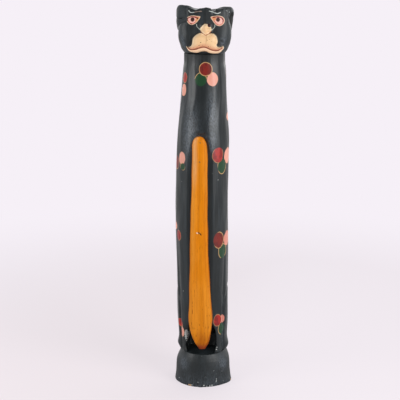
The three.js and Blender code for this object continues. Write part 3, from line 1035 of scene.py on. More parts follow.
@dataclass
class Plinth:
    """Turned round base with a rounded shoulder, chipped along its foot."""

    height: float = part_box("plinth")[1].z / MM
    foot_radius: float = 74.0
    foot_flare: float = 0.3
    foot_band: float = 4.0
    belt_radius: float = 73.0
    belt_share: float = 0.35
    shoulder: float = 26.0
    shoulder_draw: float = 2.5
    bend_share: float = 0.4
    bend_draw: float = 7.0
    rim_radius: float = 61.0
    dish: float = 2.5
    swells: tuple[Swell, ...] = (
        Swell(1.6, 76, 26, 14, 16),
        Swell(2.4, 76, 34, 60, 26),
        Swell(2.0, 62, 17, 3, 14),
        Swell(2.0, -62, 17, 3, 14),
        Swell(5.4, 74, 16, 0, 10),
        Swell(1.2, -76, 16, 0, 9),
        Swell(-4.5, -90, 42, 78, 15),
        Swell(-1.5, 18, 9, 0, 3),
    )
    wear: Wear = Wear(
        chips=((-21.7, 3, 3.2), (-25.5, 3.4, 2.2), (41, 47, 0.8), (75, 3, 2.5), (150, 2, 7), (-120, 4, 6)),
        flakes=(
            (-18.5, 4.4, 1.9), (-5.1, 13.6, 1.4), (7.4, 5.5, 2.2), (24.4, 4.0, 2.4), (20, 3.6, 2.0),
            (13, 3.2, 1.5), (-54.1, 12.2, 1.3), (34.7, 34.4, 1.1), (34.7, 20.5, 1.0), (34.2, 16.5, 1.0),
            (33.6, 12.5, 1.0), (49.2, 38, 1.1), (28.8, 44.6, 0.9), (50.9, 9.7, 1.4), (2.2, 84.5, 0.9),
            (35.7, 78.7, 0.9), (44.8, 62.9, 0.8), (38, 40, 0.8), (45, 30, 0.8), (-35, 50, 0.7),
            (10, 30, 0.6),
        ),
        scars=(
            (10.6, 3.5, 1.8), (16.4, 3.5, 2.2), (4.2, 5.0, 1.2), (26, 5.5, 0.9), (16.7, 75, 0.9),
            (31, 40, 1.2), (41, 42, 1.0), (52, 45, 1.0), (37, 25, 0.9), (0, 30, 0.6),
        ),
        # Rubbed paint and painted sheen; the last, wide patch is painted light that lightens the foot of the
        # front.
        scuffs=((160, 40, 20, 20), (-44, 58, 14, 18), (54, 60, 14, 20), (0, -30, 80, 50)),
    )

    def shape(self) -> Block:
        """Turn the drum, round its shoulder over and let the hand's unevenness in.

        Returns:
            The carved block.
        """
        bpy.ops.object.select_all(action="DESELECT")
        tall = self.height * MM
        bpy.ops.mesh.primitive_cylinder_add(
            vertices=96, radius=self.belt_radius * MM, depth=tall, location=(0, 0, tall / 2)
        )
        block = Block("carved_plinth")
        bpy.ops.object.mode_set(mode="EDIT")
        bpy.ops.mesh.subdivide(number_cuts=8)
        bpy.ops.object.mode_set(mode="OBJECT")
        bpy.ops.object.transform_apply(location=True)
        places = block.points
        x, y, z = places.T
        reach = np.hypot(x, y)
        foot = self.foot_radius + self.foot_flare
        outline = curve_through(
            [
                (0, foot),
                (self.foot_band, foot),
                (self.height * self.belt_share, self.belt_radius),
                (self.height - self.shoulder, self.belt_radius - self.shoulder_draw),
                (self.height - self.shoulder * self.bend_share, self.belt_radius - self.bend_draw),
                (self.height, self.rim_radius),
            ],
            z,
        )
        places[:, :2] *= (outline / self.belt_radius)[:, None]
        inside = np.clip(1 - reach / self.belt_radius, 0, 1)
        places[:, 2] -= np.where(z > self.height - 1, self.dish * ramp(inside, 0.05, 0.5), 0)
        block.points = places
        block.even_out(grain=1.9, turns=2)
        block.roughen(depth=1.3, grain=(60, 60, 45), seed=3.1)
        block.roughen(depth=0.35, grain=(14, 14, 30), seed=7.7)
        x, y, z = block.points.T
        angle = np.degrees(np.arctan2(x, -y))
        scale = 1 + sum(swell.on(angle, z) for swell in self.swells) / self.belt_radius
        block.points = np.column_stack([x * scale, y * scale, np.maximum(z, 0) * ramp(z, -0.5, 3)])
        return block

    def build(self, finish: DarkPaint) -> None:
        """Carve and paint the plinth.

        Args:
            finish: Its paint.
        """
        block = self.shape()
        self.wear.mark(block, self.foot_radius)
        block.finish(finish.make("painted_plinth", chips=0.25, dull=0.12), Slot.DARK_PAINT, ["plinth"])


@dataclass
class Log:
    """Back, shoulders, neck, forelegs, haunches and hind paws, carved from one log."""

    foot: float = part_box("body_log")[0].z / MM
    top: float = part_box("body_log")[1].z / MM
    depth_share: float = 0.97
    half_widths: Knots = (
        (88, 61), (125, 64), (198, 66), (255, 67.1), (385, 69.6), (462, 69.8), (540, 68.9), (605, 68.5),
        (650, 68.1), (685, 66.3), (716, 63.6), (745, 61.3), (778, 59), (846, 55), (862, 52.9),
        (884, 52.5),
    )
    aside: Knots = (
        (88, 1.0), (150, -0.6), (210, -1.0), (332, -1.5), (462, -3.4), (605, -1.6), (695, 1.0),
        (745, 1.3), (790, 2.4), (846, 3.6), (884, 3.2),
    )
    closing: float = 0.03
    thigh: Swell = Swell(3.5, 104, 34, 183, 80)
    paw: Swell = Swell(7.5, 84, 17, 101, 15)
    left_paw: Swell = Swell(-2.0, 84, 17, 101, 15)
    left_paw_top: tuple[float, float] = (90.0, 102.0)
    front_paw: Swell = Swell(3.5, 48, 17, 88, 12)
    groove_depth: float = 5.5
    groove_angle: float = 65.0
    groove_spread: float = 5.0
    groove_edge: float = 3.0
    groove_fade: tuple[float, float] = (170.0, 420.0)
    haunch_angle: float = 114.0
    haunch_squeeze: float = 1.5
    haunch_rise: float = 196.0
    haunch_radius: float = 76.0
    haunch_depth: float = 2.6
    haunch_spread: float = 4.5
    haunch_fade: tuple[float, float] = (120.0, 200.0)
    facets: int = 15
    facet_flatness: float = 0.6
    facet_waves: tuple[tuple[float, float, float], ...] = ((0.088, 47, 0), (0.064, 23, 2))
    channel_floor: float = -57.0
    channel_half_width: float = 32.0
    channel_aside: float = -2.0
    hollow_back: float = 8.0
    hollow_half_width: float = 39.0
    hollow_top: float = 182.0
    window_rise: float = 141.0
    window_reach: float = 22.0
    window_narrowing: float = 9.0
    window_bevel: float = 15.0
    bevel_start: float = -42.0
    bevel_run: float = 11.0
    strip_top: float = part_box("belly_strip")[1].z / MM
    painted_depth: float = 7.0
    front_half: float = 20.0
    shade_depths: tuple[float, float] = (24.0, 50.0)
    neck_shade: float = 0.55
    neck_shade_rise: tuple[float, float] = (852.0, 884.0)
    wear_radius: float = 67.0
    wear: Wear = Wear(
        # Flakes down to the pale filler; the column at about -43 degrees, 121 to 150 mm up, is a painted
        # highlight on the inner edge of the left foreleg.
        flakes=(
            (40.5, 99, 2.6), (43.5, 104.5, 1.6), (-60, 97.5, 1.2), (-48, 557.5, 0.9), (27, 583, 1.0),
            (-46.5, 261, 1.0), (-43.4, 150, 2.0), (-43.8, 144, 2.8), (-43.8, 138, 3.0),
            (-43.6, 132, 2.8), (-43.2, 126, 2.2), (-42.6, 121, 1.5),
        ),
        scars=((-27.3, 721, 2.2), (8.8, 687.5, 2.0), (62, 644, 1.5), (4, 690, 1.2), (-33, 424, 1.3)),
        # Rubbed paint and painted sheen. Those on the neck also paint the soft boxes' highlights; the thin
        # one at 65 degrees paints the lit edge of the leg groove.
        scuffs=(
            (-27, 690, 20, 62), (-30, 655, 13, 24), (28, 735, 13, 48), (27, 668, 10, 30),
            (65, 150, 1.6, 40), (150, 600, 14, 90), (-140, 240, 14, 70),
        ),
        cracks=(
            ((15.5, 708), (16, 697), (16.4, 688), (15.6, 672), (15.8, 657)),
            # A dark diagonal line down the left foreleg, along the edge between the foreleg and the haunch
            ((-62, 178), (-53, 165.5), (-38.5, 154)),
        ),
    )

    def skin(self, block: Block) -> None:
        """Pull a ball into the tall tapering log with its thighs, paws and leg grooves.

        Args:
            block: The ball.
        """
        angle, share = round_ball(block.points)
        degrees = np.degrees(angle)
        side = np.abs(degrees)
        risen = np.clip((share - self.closing) / (1 - 2 * self.closing), 0, 1)
        height = self.foot + (self.top - self.foot) * risen
        low_left = (degrees < 0) * (1 - ramp(height, *self.left_paw_top))
        width = curve_through(self.half_widths, height) + self.thigh.on(side, height)
        width += self.paw.on(side, height) + self.left_paw.on(side, height) * low_left
        width += self.front_paw.on(side, height)
        past = side - self.groove_angle
        groove = bell(past, self.groove_spread) * np.where(past > 0, 1 - ramp(past, 0, self.groove_edge), 1)
        width -= self.groove_depth * (1 - ramp(height, *self.groove_fade)) * groove
        haunch = np.hypot((side - self.haunch_angle) * self.haunch_squeeze, height - self.haunch_rise)
        rim = bell(haunch - self.haunch_radius, self.haunch_spread)
        width -= self.haunch_depth * rim * ramp(height, *self.haunch_fade)
        pitch = 2 * math.pi / self.facets
        wobble = sum(swing * np.sin(height / length + shift) for swing, length, shift in self.facet_waves)
        off_centre = (angle + wobble) % pitch - pitch / 2
        width *= 1 - self.facet_flatness * (1 - math.cos(pitch / 2) / np.cos(off_centre))
        width *= np.clip(np.minimum(share, 1 - share) / self.closing, 0, 1)
        middle = curve_through(self.aside, height)
        depth = width * self.depth_share
        block.points = np.column_stack([middle + width * np.sin(angle), -depth * np.cos(angle), height])

    def gouge(self, block: Block) -> None:
        """Sink the channel for the strip and the deep hollow between the forelegs.

        Args:
            block: The log's skin.
        """
        places = block.points
        x, y, z = places.T
        signed = x - curve_through(self.aside, z) - self.channel_aside
        across = np.abs(signed)
        window = bell(z - self.window_rise, self.window_reach) * (signed < 0)
        width = curve_through(
            [
                (self.foot - 5, self.hollow_half_width - 5),
                (self.foot + 16, self.hollow_half_width),
                (self.hollow_top - 44, self.hollow_half_width),
                (self.hollow_top - 4, self.channel_half_width + 1),
                (self.strip_top - 70, self.channel_half_width),
                (self.strip_top - 28, self.channel_half_width - 9),
                (self.strip_top + 4, 15),
            ],
            z,
        )
        floor = curve_through(
            [
                (self.foot, self.hollow_back),
                (self.hollow_top - 62, self.hollow_back),
                (self.hollow_top, self.channel_floor),
                (self.strip_top - 30, self.channel_floor),
                (self.strip_top + 6, self.channel_floor - 2),
                (self.strip_top + 9, -90),
            ],
            z,
        )
        edge = [(self.foot, 2.5), (self.hollow_top, 4), (self.hollow_top + 60, 7), (self.strip_top, 4)]
        soft = curve_through(edge, z)
        width = width - self.window_narrowing * window
        open_share = 1 - ramp(across, width - soft, width + soft)
        bevel = self.window_bevel * window * np.clip((signed - self.bevel_start) / self.bevel_run, 0, 1)
        sunk = np.maximum(y + bevel, y + (floor - y) * open_share)
        places[:, 1] = np.where((y < 0) & (z < self.strip_top + 9), sunk, y)
        block.points = places

    def paint_marks(self, block: Block) -> None:
        """Keep the distance of each point from the dots of each colour, the painted shade and the wear.

        Args:
            block: The carved log.
        """
        x, y, z = block.points.T
        across = x - curve_through(self.aside, z)
        angle = np.degrees(np.arctan2(across, -y))
        radius = curve_through(self.half_widths, z)
        depth = radius - np.hypot(across, y / self.depth_share)
        carved_off = np.where((depth > self.painted_depth) & (y < self.front_half), FAR, 0)
        dots = LogPaint().dots()
        fields = {dot.colour: np.full(len(z), FAR) for dot in dots}
        for dot in dots:
            sideways = np.radians(around(angle, dot.degrees)) * radius
            reach = np.hypot(sideways / dot.half_width, (z - dot.height) / dot.half_height)
            distance = (reach - 1) * min(dot.half_width, dot.half_height)
            fields[dot.colour] = np.minimum(fields[dot.colour], distance)
        for name, values in fields.items():
            block.mark(name, values + carved_off)
        # Painted shade: darker deep in the hollow between the forelegs, and at the top of the neck under the
        # jaw.
        hollow = ramp(depth, *self.shade_depths) * (y < self.front_half)
        block.mark("recess", np.maximum(hollow, self.neck_shade * ramp(z, *self.neck_shade_rise)))
        self.wear.mark(block, self.wear_radius)

    def build(self, finish: DarkPaint) -> None:
        """Carve and paint the log.

        Args:
            finish: Its paint.
        """
        block = Block.ball("carved_log", segments=240, rings=330)
        self.skin(block)
        self.gouge(block)
        block.even_out(grain=2.3, turns=4)
        block.roughen(depth=0.5, grain=(26, 26, 90), seed=1.7)
        block.roughen(depth=0.18, grain=(7, 7, 40), seed=5.3)
        self.paint_marks(block)
        block.finish(finish.make("painted_log", dots=True, chips=0.12), Slot.DARK_PAINT, ["body_log"])


@dataclass
class Strip:
    """Ochre half-round lath down the belly."""

    foot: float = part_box("belly_strip")[0].z / MM
    top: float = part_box("belly_strip")[1].z / MM
    back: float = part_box("belly_strip")[1].y / MM
    front: float = -68.0
    half_widths: Knots = (
        (103, 32.3), (190, 32.5), (226, 30.1), (291, 27.6), (355, 24.9), (420, 23.7), (484, 21.9),
        (548, 21), (611, 20), (680, 19.2),
    )
    aside: Knots = (
        (103, -1.0), (226, -2.0), (291, -3.4), (420, -5.2), (484, -4.6), (548, -3.8), (611, -3.0),
        (670, -4.6),
    )
    top_round: float = 27.0
    foot_round: float = 105.0
    foot_cut: float = 0.3
    foot_lean: float = 3.5
    side_power: float = 0.9
    front_power: float = 0.62
    end_power: float = 0.45
    wave: float = 0.5
    wave_length: float = 17.0
    belly: float = 2.5
    belly_rise: float = 190.0
    belly_reach: float = 90.0
    chip: Points = ((-5.0, 427.5), (-3.0, 426.0))
    chip_radius: float = 1.6
    scar: Points = ((-1.0, 428.0), (3.0, 426.0), (6.0, 422.0))
    scar_radius: float = 1.3

    def ends(self, height: np.ndarray) -> np.ndarray:
        """Narrow the strip to its round top and to its cut foot.

        Args:
            height: Heights to read.

        Returns:
            The share of the full width at each height.
        """
        foot = round_over(height - self.foot, self.foot_round)
        foot = np.maximum(foot, self.foot_cut * ramp(height - self.foot, 0, 1.5))
        return round_over(self.top - height, self.top_round) * foot

    def build(self, finish: OchreStain) -> None:
        """Carve and stain the strip.

        Args:
            finish: Its stain.
        """
        block = Block.ball("carved_strip", segments=96, rings=260)
        angle, share = round_ball(block.points)
        height = self.foot + (self.top - self.foot) * share
        ends = self.ends(height)
        width = curve_through(self.half_widths, height) * ends
        width += self.wave * np.sin(height / self.wave_length + np.sign(np.sin(angle)) * 2) * ends
        deep = self.back - self.front + self.belly * bell(height - self.belly_rise, self.belly_reach)
        across = signed_power(np.sin(angle), self.side_power) * width
        front = np.maximum(signed_power(np.cos(angle), self.front_power), 0)
        forward = front * deep * ends**self.end_power
        lean = self.foot_lean * (1 - ramp(height, self.foot, self.foot + 70))
        middle = curve_through(self.aside, height) + across + lean
        block.points = np.column_stack([middle, self.back - forward, height])
        block.even_out(grain=1.5, turns=4)
        block.roughen(depth=0.5, grain=(9, 9, 60), seed=2.2)
        block.roughen(depth=0.2, grain=(4, 4, 24), seed=8.4)
        self.mark(block)
        block.finish(finish.make("stained_strip"), Slot.OCHRE_STAIN, ["belly_strip"])

    def mark(self, block: Block) -> None:
        """Keep where the strip's brown edges, reddish tip, painted highlight, painted light, chips and scars
        are.

        Args:
            block: The carved strip.
        """
        x, y, z = block.points.T
        aside = curve_through(self.aside, z)
        width = curve_through(self.half_widths, z) * self.ends(z)
        off = x - aside
        block.mark("strip_edge", (1 - ramp(width - np.abs(off), 0.5, 3.0)) * (1 - ramp(z, 300, 520) * 0.6))
        block.mark("strip_pores", 0.25 + 0.65 * (1 - ramp(z, 200, 340)))
        block.mark("strip_tip", 1 - ramp(z, self.foot + 6, self.foot + 24))
        # Painted light: the lower strip is made paler, and painted highlights run down its left side, paler
        # still high up.
        painted_light_low = 0.75 * (1 - ramp(z, 230, 360)) * ramp(z, self.foot + 20, self.foot + 70)
        block.mark("strip_pale", np.maximum(bell(off + width * 0.62, 5) * ramp(z, 240, 420), painted_light_low))
        block.mark("strip_bloom", bell(off + width * 0.6, 6) * ramp(z, 520, 600))
        block.mark("strip_gold", bell(off - width * 0.15, 6))
        block.mark("strip_low", 1 - ramp(z, 125, 185))
        drawing = np.column_stack([off, z])
        block.mark("chip", line_distance(drawing, np.array(self.chip), closed=False) - self.chip_radius)
        block.mark("scar", line_distance(drawing, np.array(self.scar), closed=False) - self.scar_radius)


@dataclass
class Nails:
    """Brads that hold the strip: flat heads, hammered flush, on thin shanks."""

    count: int = 4
    rim: float = 0.35

    def build(self, finish: Material) -> None:
        """Make the nails at their places in the frame.

        Args:
            finish: Their material.
        """
        for number in range(1, self.count + 1):
            node = f"belly_nail_{number}"
            low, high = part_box(node)
            centre = (low + high) / 2
            radius = (high.x - low.x) / 2
            bpy.ops.object.select_all(action="DESELECT")
            bpy.ops.mesh.primitive_cylinder_add(
                vertices=20,
                radius=radius,
                depth=radius * 0.6,
                location=(centre.x, low.y + radius * 0.3, centre.z),
                rotation=(math.radians(90), 0, 0),
            )
            block = Block(f"brad_{number}")
            bpy.ops.object.transform_apply(location=True, rotation=True)
            bpy.ops.object.mode_set(mode="EDIT")
            bpy.ops.mesh.select_mode(type="FACE")
            bpy.ops.mesh.select_all(action="SELECT")
            bpy.ops.mesh.bevel(offset=self.rim * MM, segments=2)
            bpy.ops.object.mode_set(mode="OBJECT")
            back = max(face.center.y for face in block.piece.data.polygons)
            for face in block.piece.data.polygons:
                face.select = face.center.y > back - 1e-6 and abs(face.normal.y) > 0.99
            bpy.ops.object.mode_set(mode="EDIT")
            bpy.ops.mesh.inset(thickness=radius * 0.5)
            bpy.ops.mesh.extrude_region_move(TRANSFORM_OT_translate={"value": (0, high.y - back, 0)})
            bpy.ops.object.mode_set(mode="OBJECT")
            block.finish(finish, Slot.NAIL_STEEL, [node])


@dataclass
class Head:
    """Head block with cheeks, nose, muzzle and lips, turned a little on the neck."""

    foot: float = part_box("head")[0].z / MM
    top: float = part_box("head")[1].z / MM
    columns_forward: float = 0.3
    turned: float = 6.5
    tilted: float = 1.7
    aside: float = 2.7
    squareness: Knots = ((0, 0.66), (20, 0.56), (46, 0.44), (62, 0.4), (76, 0.36), (109, 0.36))
    crown: Knots = (
        (-60, 6.5), (-46, 5.5), (-34, 1.2), (-25, -1.6), (-17, 2), (-8, 2.8), (0, 5), (7, 6), (12, 2.6),
        (16.5, -5), (20, -4.4), (25, 2.2), (35, 2.8), (46, 5.5), (60, 6.5),
    )
    drawn_low: float = 1.4
    closing: float = 0.06
    crown_edge: float = 1.2
    cheek_swell: float = 0.03
    cheek_lean: float = 0.015
    back_fall: float = 7.0
    corner_fall: float = 6.0
    muzzle_depth: float = 17.0
    lip_round: float = 2.2
    muzzle_round: float = 10.8
    muzzle_swell: Swell = Swell(3.5, 1, 24, 28, 22)
    nose_depth: float = 15.0
    nose_round: float = 7.0
    bridge: Swell = Swell(3.5, 2, 20, 70, 26)
    cheek: Swell = Swell(2.5, 40, 16, 45, 20)
    socket_depth: float = 1.6
    socket_reach: float = 24.0
    socket_squeeze: float = 1.25
    eyeball: float = 1.8
    eyeball_reach: float = 11.0
    mouth_groove: tuple[float, float] = (2.2, 2.0)
    cleft_groove: tuple[float, float] = (1.2, 1.8)
    nostril: tuple[float, float] = (10.6, 70.6)
    nostril_radius: float = 4.1
    # Painted highlights: soft vertical bands of pale sheen on both cheeks.
    wear: Wear = Wear(scuffs=((-47, 912, 5, 17), (37, 912, 7, 17)))
    wear_radius: float = 62.0
    front: float = -62.0
    back: float = 60.0
    widths: Knots = (
        (0, 52), (4, 54.5), (9, 58), (15, 60), (28, 64), (46, 65.5), (60, 65.2), (76, 60.5), (90, 58),
        (104, 56), (109, 53),
    )
    depths: Knots = (
        (0, 0.86), (15, 0.96), (42, 1), (78, 0.98), (96, 0.96), (104, 0.93), (107.5, 0.9), (109, 0.84),
    )
    muzzle: Points = (
        (2.5, 49), (-10, 53), (-22, 48), (-29, 40), (-31, 29), (-34, 21.5), (-40, 18.5), (-45.5, 19.5),
        (-44, 14.5), (-39, 8), (-29, 4.5), (-19, 4), (-10, 7), (1, 8), (12, 3.5), (24, 2), (36, 3.5),
        (43.5, 10.5), (47.5, 15.5), (44.5, 20.5), (38, 18.5), (31, 19.5), (29, 24), (31, 29),
        (30.5, 38), (27, 46), (18, 52),
    )
    nose: Points = (
        (-0.5, 74), (-7, 70), (-11.5, 62), (-8.5, 55), (2.5, 48.5), (13.5, 55), (16.5, 61.5), (9, 72),
    )
    mouth: Points = (
        (-42, 17), (-35, 12.8), (-24, 13.5), (-13.5, 17), (-4.5, 19), (2.5, 18), (12, 13.5), (21, 10.8),
        (31, 10.2), (41.5, 15),
    )
    cleft: Points = ((3, 49), (2.5, 35), (1.5, 22))
    # Line under the nose, painted dark as a line and as the nose's shadow
    fold: Points = ((-10, 57.5), (-6.5, 52.5), (2.5, 47.5), (11.5, 52.5), (15.5, 57.5))
    eyes: tuple[Points, Points] = (
        (
            (-44.5, 86.5), (-39, 92), (-29, 94), (-20, 93), (-11.5, 91.5), (-17, 82.5), (-22.5, 76.5),
            (-32.5, 72.6), (-41, 77),
        ),
        (
            (14.5, 90), (22, 92.5), (35, 93.5), (44, 90.5), (48.5, 84), (46, 75), (37.5, 69.5), (28, 72),
            (21, 80),
        ),
    )
    lids: tuple[Points, ...] = (
        ((-42.5, 87), (-38, 89.8), (-33, 91.4), (-26, 91), (-21, 89.4)),
        ((-36, 76), (-33, 74.2)),
        ((20, 90), (27, 91), (33, 91)),
        ((33, 90.6), (38.5, 90), (43, 87), (45.2, 83), (44, 78.5)),
        ((37.5, 90.6), (42, 87.6), (44, 83.6)),
    )
    corners: tuple[Points, Points] = (
        ((-20, 90), (-16.2, 89.2), (-16.8, 85.6), (-19.8, 86.4)),
        ((-44.4, 85.6), (-42, 87.4), (-41.2, 83), (-43, 80)),
    )
    pupils: Points = ((-30.4, 84.8), (32.4, 84.4))
    pupil_radius: float = 5.0
    tans: tuple[Points, Points] = (
        ((-21, 90.5), (-13.5, 90), (-18, 82.5), (-22.5, 79), (-23, 84)),
        ((17, 88.5), (23, 90.5), (27.5, 88.5), (26, 83.5), (22, 82)),
    )
    brows: tuple[Points, ...] = (
        ((-39.2, 106.6), (-37, 103), (-32.5, 101.5), (-26, 102.2)),
        ((10.8, 104.9), (18.2, 103.2), (25.6, 100.2)),
        ((25.6, 100.2), (31.8, 99.2), (38.7, 102.2)),
    )
    faint_brow: Points = ((-26, 102.2), (-19, 103.4), (-14, 104.3), (-7.5, 104.6))
    tears: tuple[Points, Points] = (
        ((-20.5, 73.5), (-19.5, 68), (-15.5, 64), (-11, 60)),
        ((24, 72.5), (24.5, 68), (21, 62.8), (16.5, 59)),
    )

    def drawing(self, places: np.ndarray) -> np.ndarray:
        """Give the places' coordinates on the tilted face: across, and up from the neck."""
        tilted = turn(places, self.tilted, 1, (0, 0, self.foot))
        return np.column_stack([tilted[:, 0], tilted[:, 2] - self.foot + self.drawn_low])

    def skull(self, block: Block) -> None:
        """Pull a ball into the squarish head.

        Args:
            block: The ball.
        """
        angle, share = round_ball(block.points)
        angle = angle - self.columns_forward * np.sin(angle)
        rise = (self.top - self.foot) * np.clip((share - self.closing) / (1 - self.closing), 0, 1)
        closing = np.clip(share / self.closing, 0, 1)
        reach = np.where(np.cos(angle) > 0, -self.front, self.back)
        width = curve_through(self.widths, rise) * closing
        depth = reach * curve_through(self.depths, rise) * closing
        closing_top = round_over(self.top - self.foot - rise, self.crown_edge)
        corners = curve_through(self.squareness, rise)
        across = width * closing_top * signed_power(np.sin(angle), corners)
        forward = -depth * closing_top * signed_power(np.cos(angle), corners)
        cheeks = ramp(-forward, 5, 45) * ramp(rise, 15, 35) * (1 - ramp(rise, 66, 80))
        across *= 1 + (self.cheek_swell - self.cheek_lean * np.sign(across)) * cheeks
        slopes = curve_through(self.crown, across) * (1 - ramp(forward, -20, 5))
        slopes -= self.back_fall * ramp(forward, -50, 40)
        slopes -= self.corner_fall * ramp(np.abs(across), 30, 58) * ramp(forward, 0, 20)
        rise = rise + slopes * ramp(rise, 70, 109)
        block.points = np.column_stack([across, forward, self.foot + rise])

    def carve_face(self, block: Block) -> None:
        """Raise the nose, muzzle, lips and cheeks from the front of the head, and sink the eyes.

        Args:
            block: The skull.
        """
        places = block.points
        spots = self.drawing(places)
        facing = ramp(-places[:, 1], 8, 30)
        muzzle = -patch_distance(spots, self.muzzle)
        nose = -patch_distance(spots, self.nose)
        across, rise = spots.T
        bare = (nose < 0) * (muzzle < 0)
        rounding = self.lip_round + self.muzzle_round * ramp(rise, 9, 26)
        raised = self.muzzle_depth * round_over(muzzle, rounding)
        raised += self.muzzle_swell.on(across, rise) * (muzzle > 0)
        raised = np.maximum(raised, self.nose_depth * round_over(nose, self.nose_round))
        raised += self.bridge.on(across, rise) * bare
        raised += self.cheek.on(np.abs(across), rise) * (muzzle < 0)
        for pupil in self.pupils:
            distance = np.hypot(across - pupil[0], (rise - pupil[1]) * self.socket_squeeze)
            raised -= self.socket_depth * bell(distance, self.socket_reach)
            raised += self.eyeball * bell(distance, self.eyeball_reach)
        for line, (depth, reach) in ((self.mouth, self.mouth_groove), (self.cleft, self.cleft_groove)):
            raised -= depth * bell(stroke_distance(spots, line), reach)
        places[:, 1] -= raised * facing
        block.points = places

    def paint_marks(self, block: Block) -> None:
        """Keep the distance of each point from each painted line and patch of the face.

        Args:
            block: The carved head, before it is turned.
        """
        places = block.points
        spots = self.drawing(places)
        behind = np.where(places[:, 1] > -12, FAR, 0.0)

        def patches(*outlines: Points) -> np.ndarray:
            """Measure how far the points are outside the nearest patch."""
            return np.minimum.reduce([patch_distance(spots, outline) for outline in outlines]) + behind

        def strokes(*lines: Points) -> np.ndarray:
            """Measure how far the points are from the nearest line."""
            return np.minimum.reduce([stroke_distance(spots, line) for line in lines]) + behind

        def rounds(radius: float, *middles: tuple[float, float]) -> np.ndarray:
            """Measure how far the points are outside the nearest circle."""
            away = [np.linalg.norm(spots - np.array(middle), axis=1) for middle in middles]
            return np.minimum.reduce(away) - radius + behind

        across, rise = spots.T
        marks = {
            "face_cream": patches(self.muzzle, self.nose),
            "face_mouth": strokes(self.mouth),
            "face_lip": 1 - ramp(rise - curve_through(self.mouth, across), -2.5, 0),
            "face_cleft": strokes(self.cleft),
            "face_fold": strokes(self.fold),
            "face_nostril": rounds(self.nostril_radius, self.nostril),
            "face_line": strokes(*self.brows),
            "face_faint": strokes(self.faint_brow),
            "face_tear": strokes(*self.tears),
            "eye_open": patches(*self.eyes),
            "eye_lid": strokes(*self.lids),
            "eye_tan": patches(*self.tans),
            "eye_corner": patches(*self.corners),
            "eye_pupil": rounds(self.pupil_radius, *self.pupils),
        }
        for name, values in marks.items():
            block.mark(name, values)
        self.wear.mark(block, self.wear_radius)

    def settle(self, places: np.ndarray) -> np.ndarray:
        """Tilt and turn places on the head as it sits on the neck."""
        tilted = turn(places, self.tilted, 1, (0, 0, self.foot))
        return turn(tilted, self.turned, 2) + np.array([self.aside, 0, 0])

    def build(self, finish: DarkPaint) -> None:
        """Carve and paint the head.

        Args:
            finish: Its paint.
        """
        block = Block.ball("carved_head", segments=256, rings=150)
        self.skull(block)
        self.carve_face(block)
        block.even_out(grain=1.15, turns=3)
        block.roughen(depth=0.4, grain=(22, 22, 22), seed=4.4)
        block.roughen(depth=0.12, grain=(6, 6, 9), seed=9.1)
        self.paint_marks(block)
        block.points = self.settle(block.points)
        block.finish(finish.make("painted_head", face=True, chips=0.1, dull=0.1), Slot.DARK_PAINT, ["head"])


@dataclass(frozen=True)
class EarCut:
    """What the knife did to one ear, since no two are alike, and how dark the painted shade in its hollow
    is.
    """

    crown: float
    slope_start: float
    corner_drops: tuple[tuple[float, float, float], ...]
    wider: float
    taper: float
    sharp: float
    soft: float
    hollow_depth: float
    crease: float
    # How dark the painted shade in the ear's hollow is
    recess: float
    dull: float
    wear: Wear


EAR_CUTS = {
    Side.LEFT: EarCut(
        crown=987.2,
        slope_start=4.0,
        corner_drops=((4.0, 61, 71),),
        wider=-0.3,
        taper=4.0,
        sharp=3.7,
        soft=0.27,
        hollow_depth=15.0,
        crease=0.0,
        recess=0.85,
        dull=0.1,
        wear=Wear(flakes=((44.5, 990, 1.8), (50, 987, 1.1))),
    ),
    Side.RIGHT: EarCut(
        crown=988.5,
        slope_start=15.0,
        corner_drops=((2.5, 65, 72), (-1.0, 52, 60)),
        wider=1.4,
        taper=3.0,
        sharp=7.0,
        soft=0.3,
        hollow_depth=4.0,
        crease=3.5,
        recess=0.0,
        dull=0.3,
        # The dark line along the ear's crease is painted shadow.
        wear=Wear(cracks=(((-72, 967.5), (-50, 968.5)),)),
    ),
}


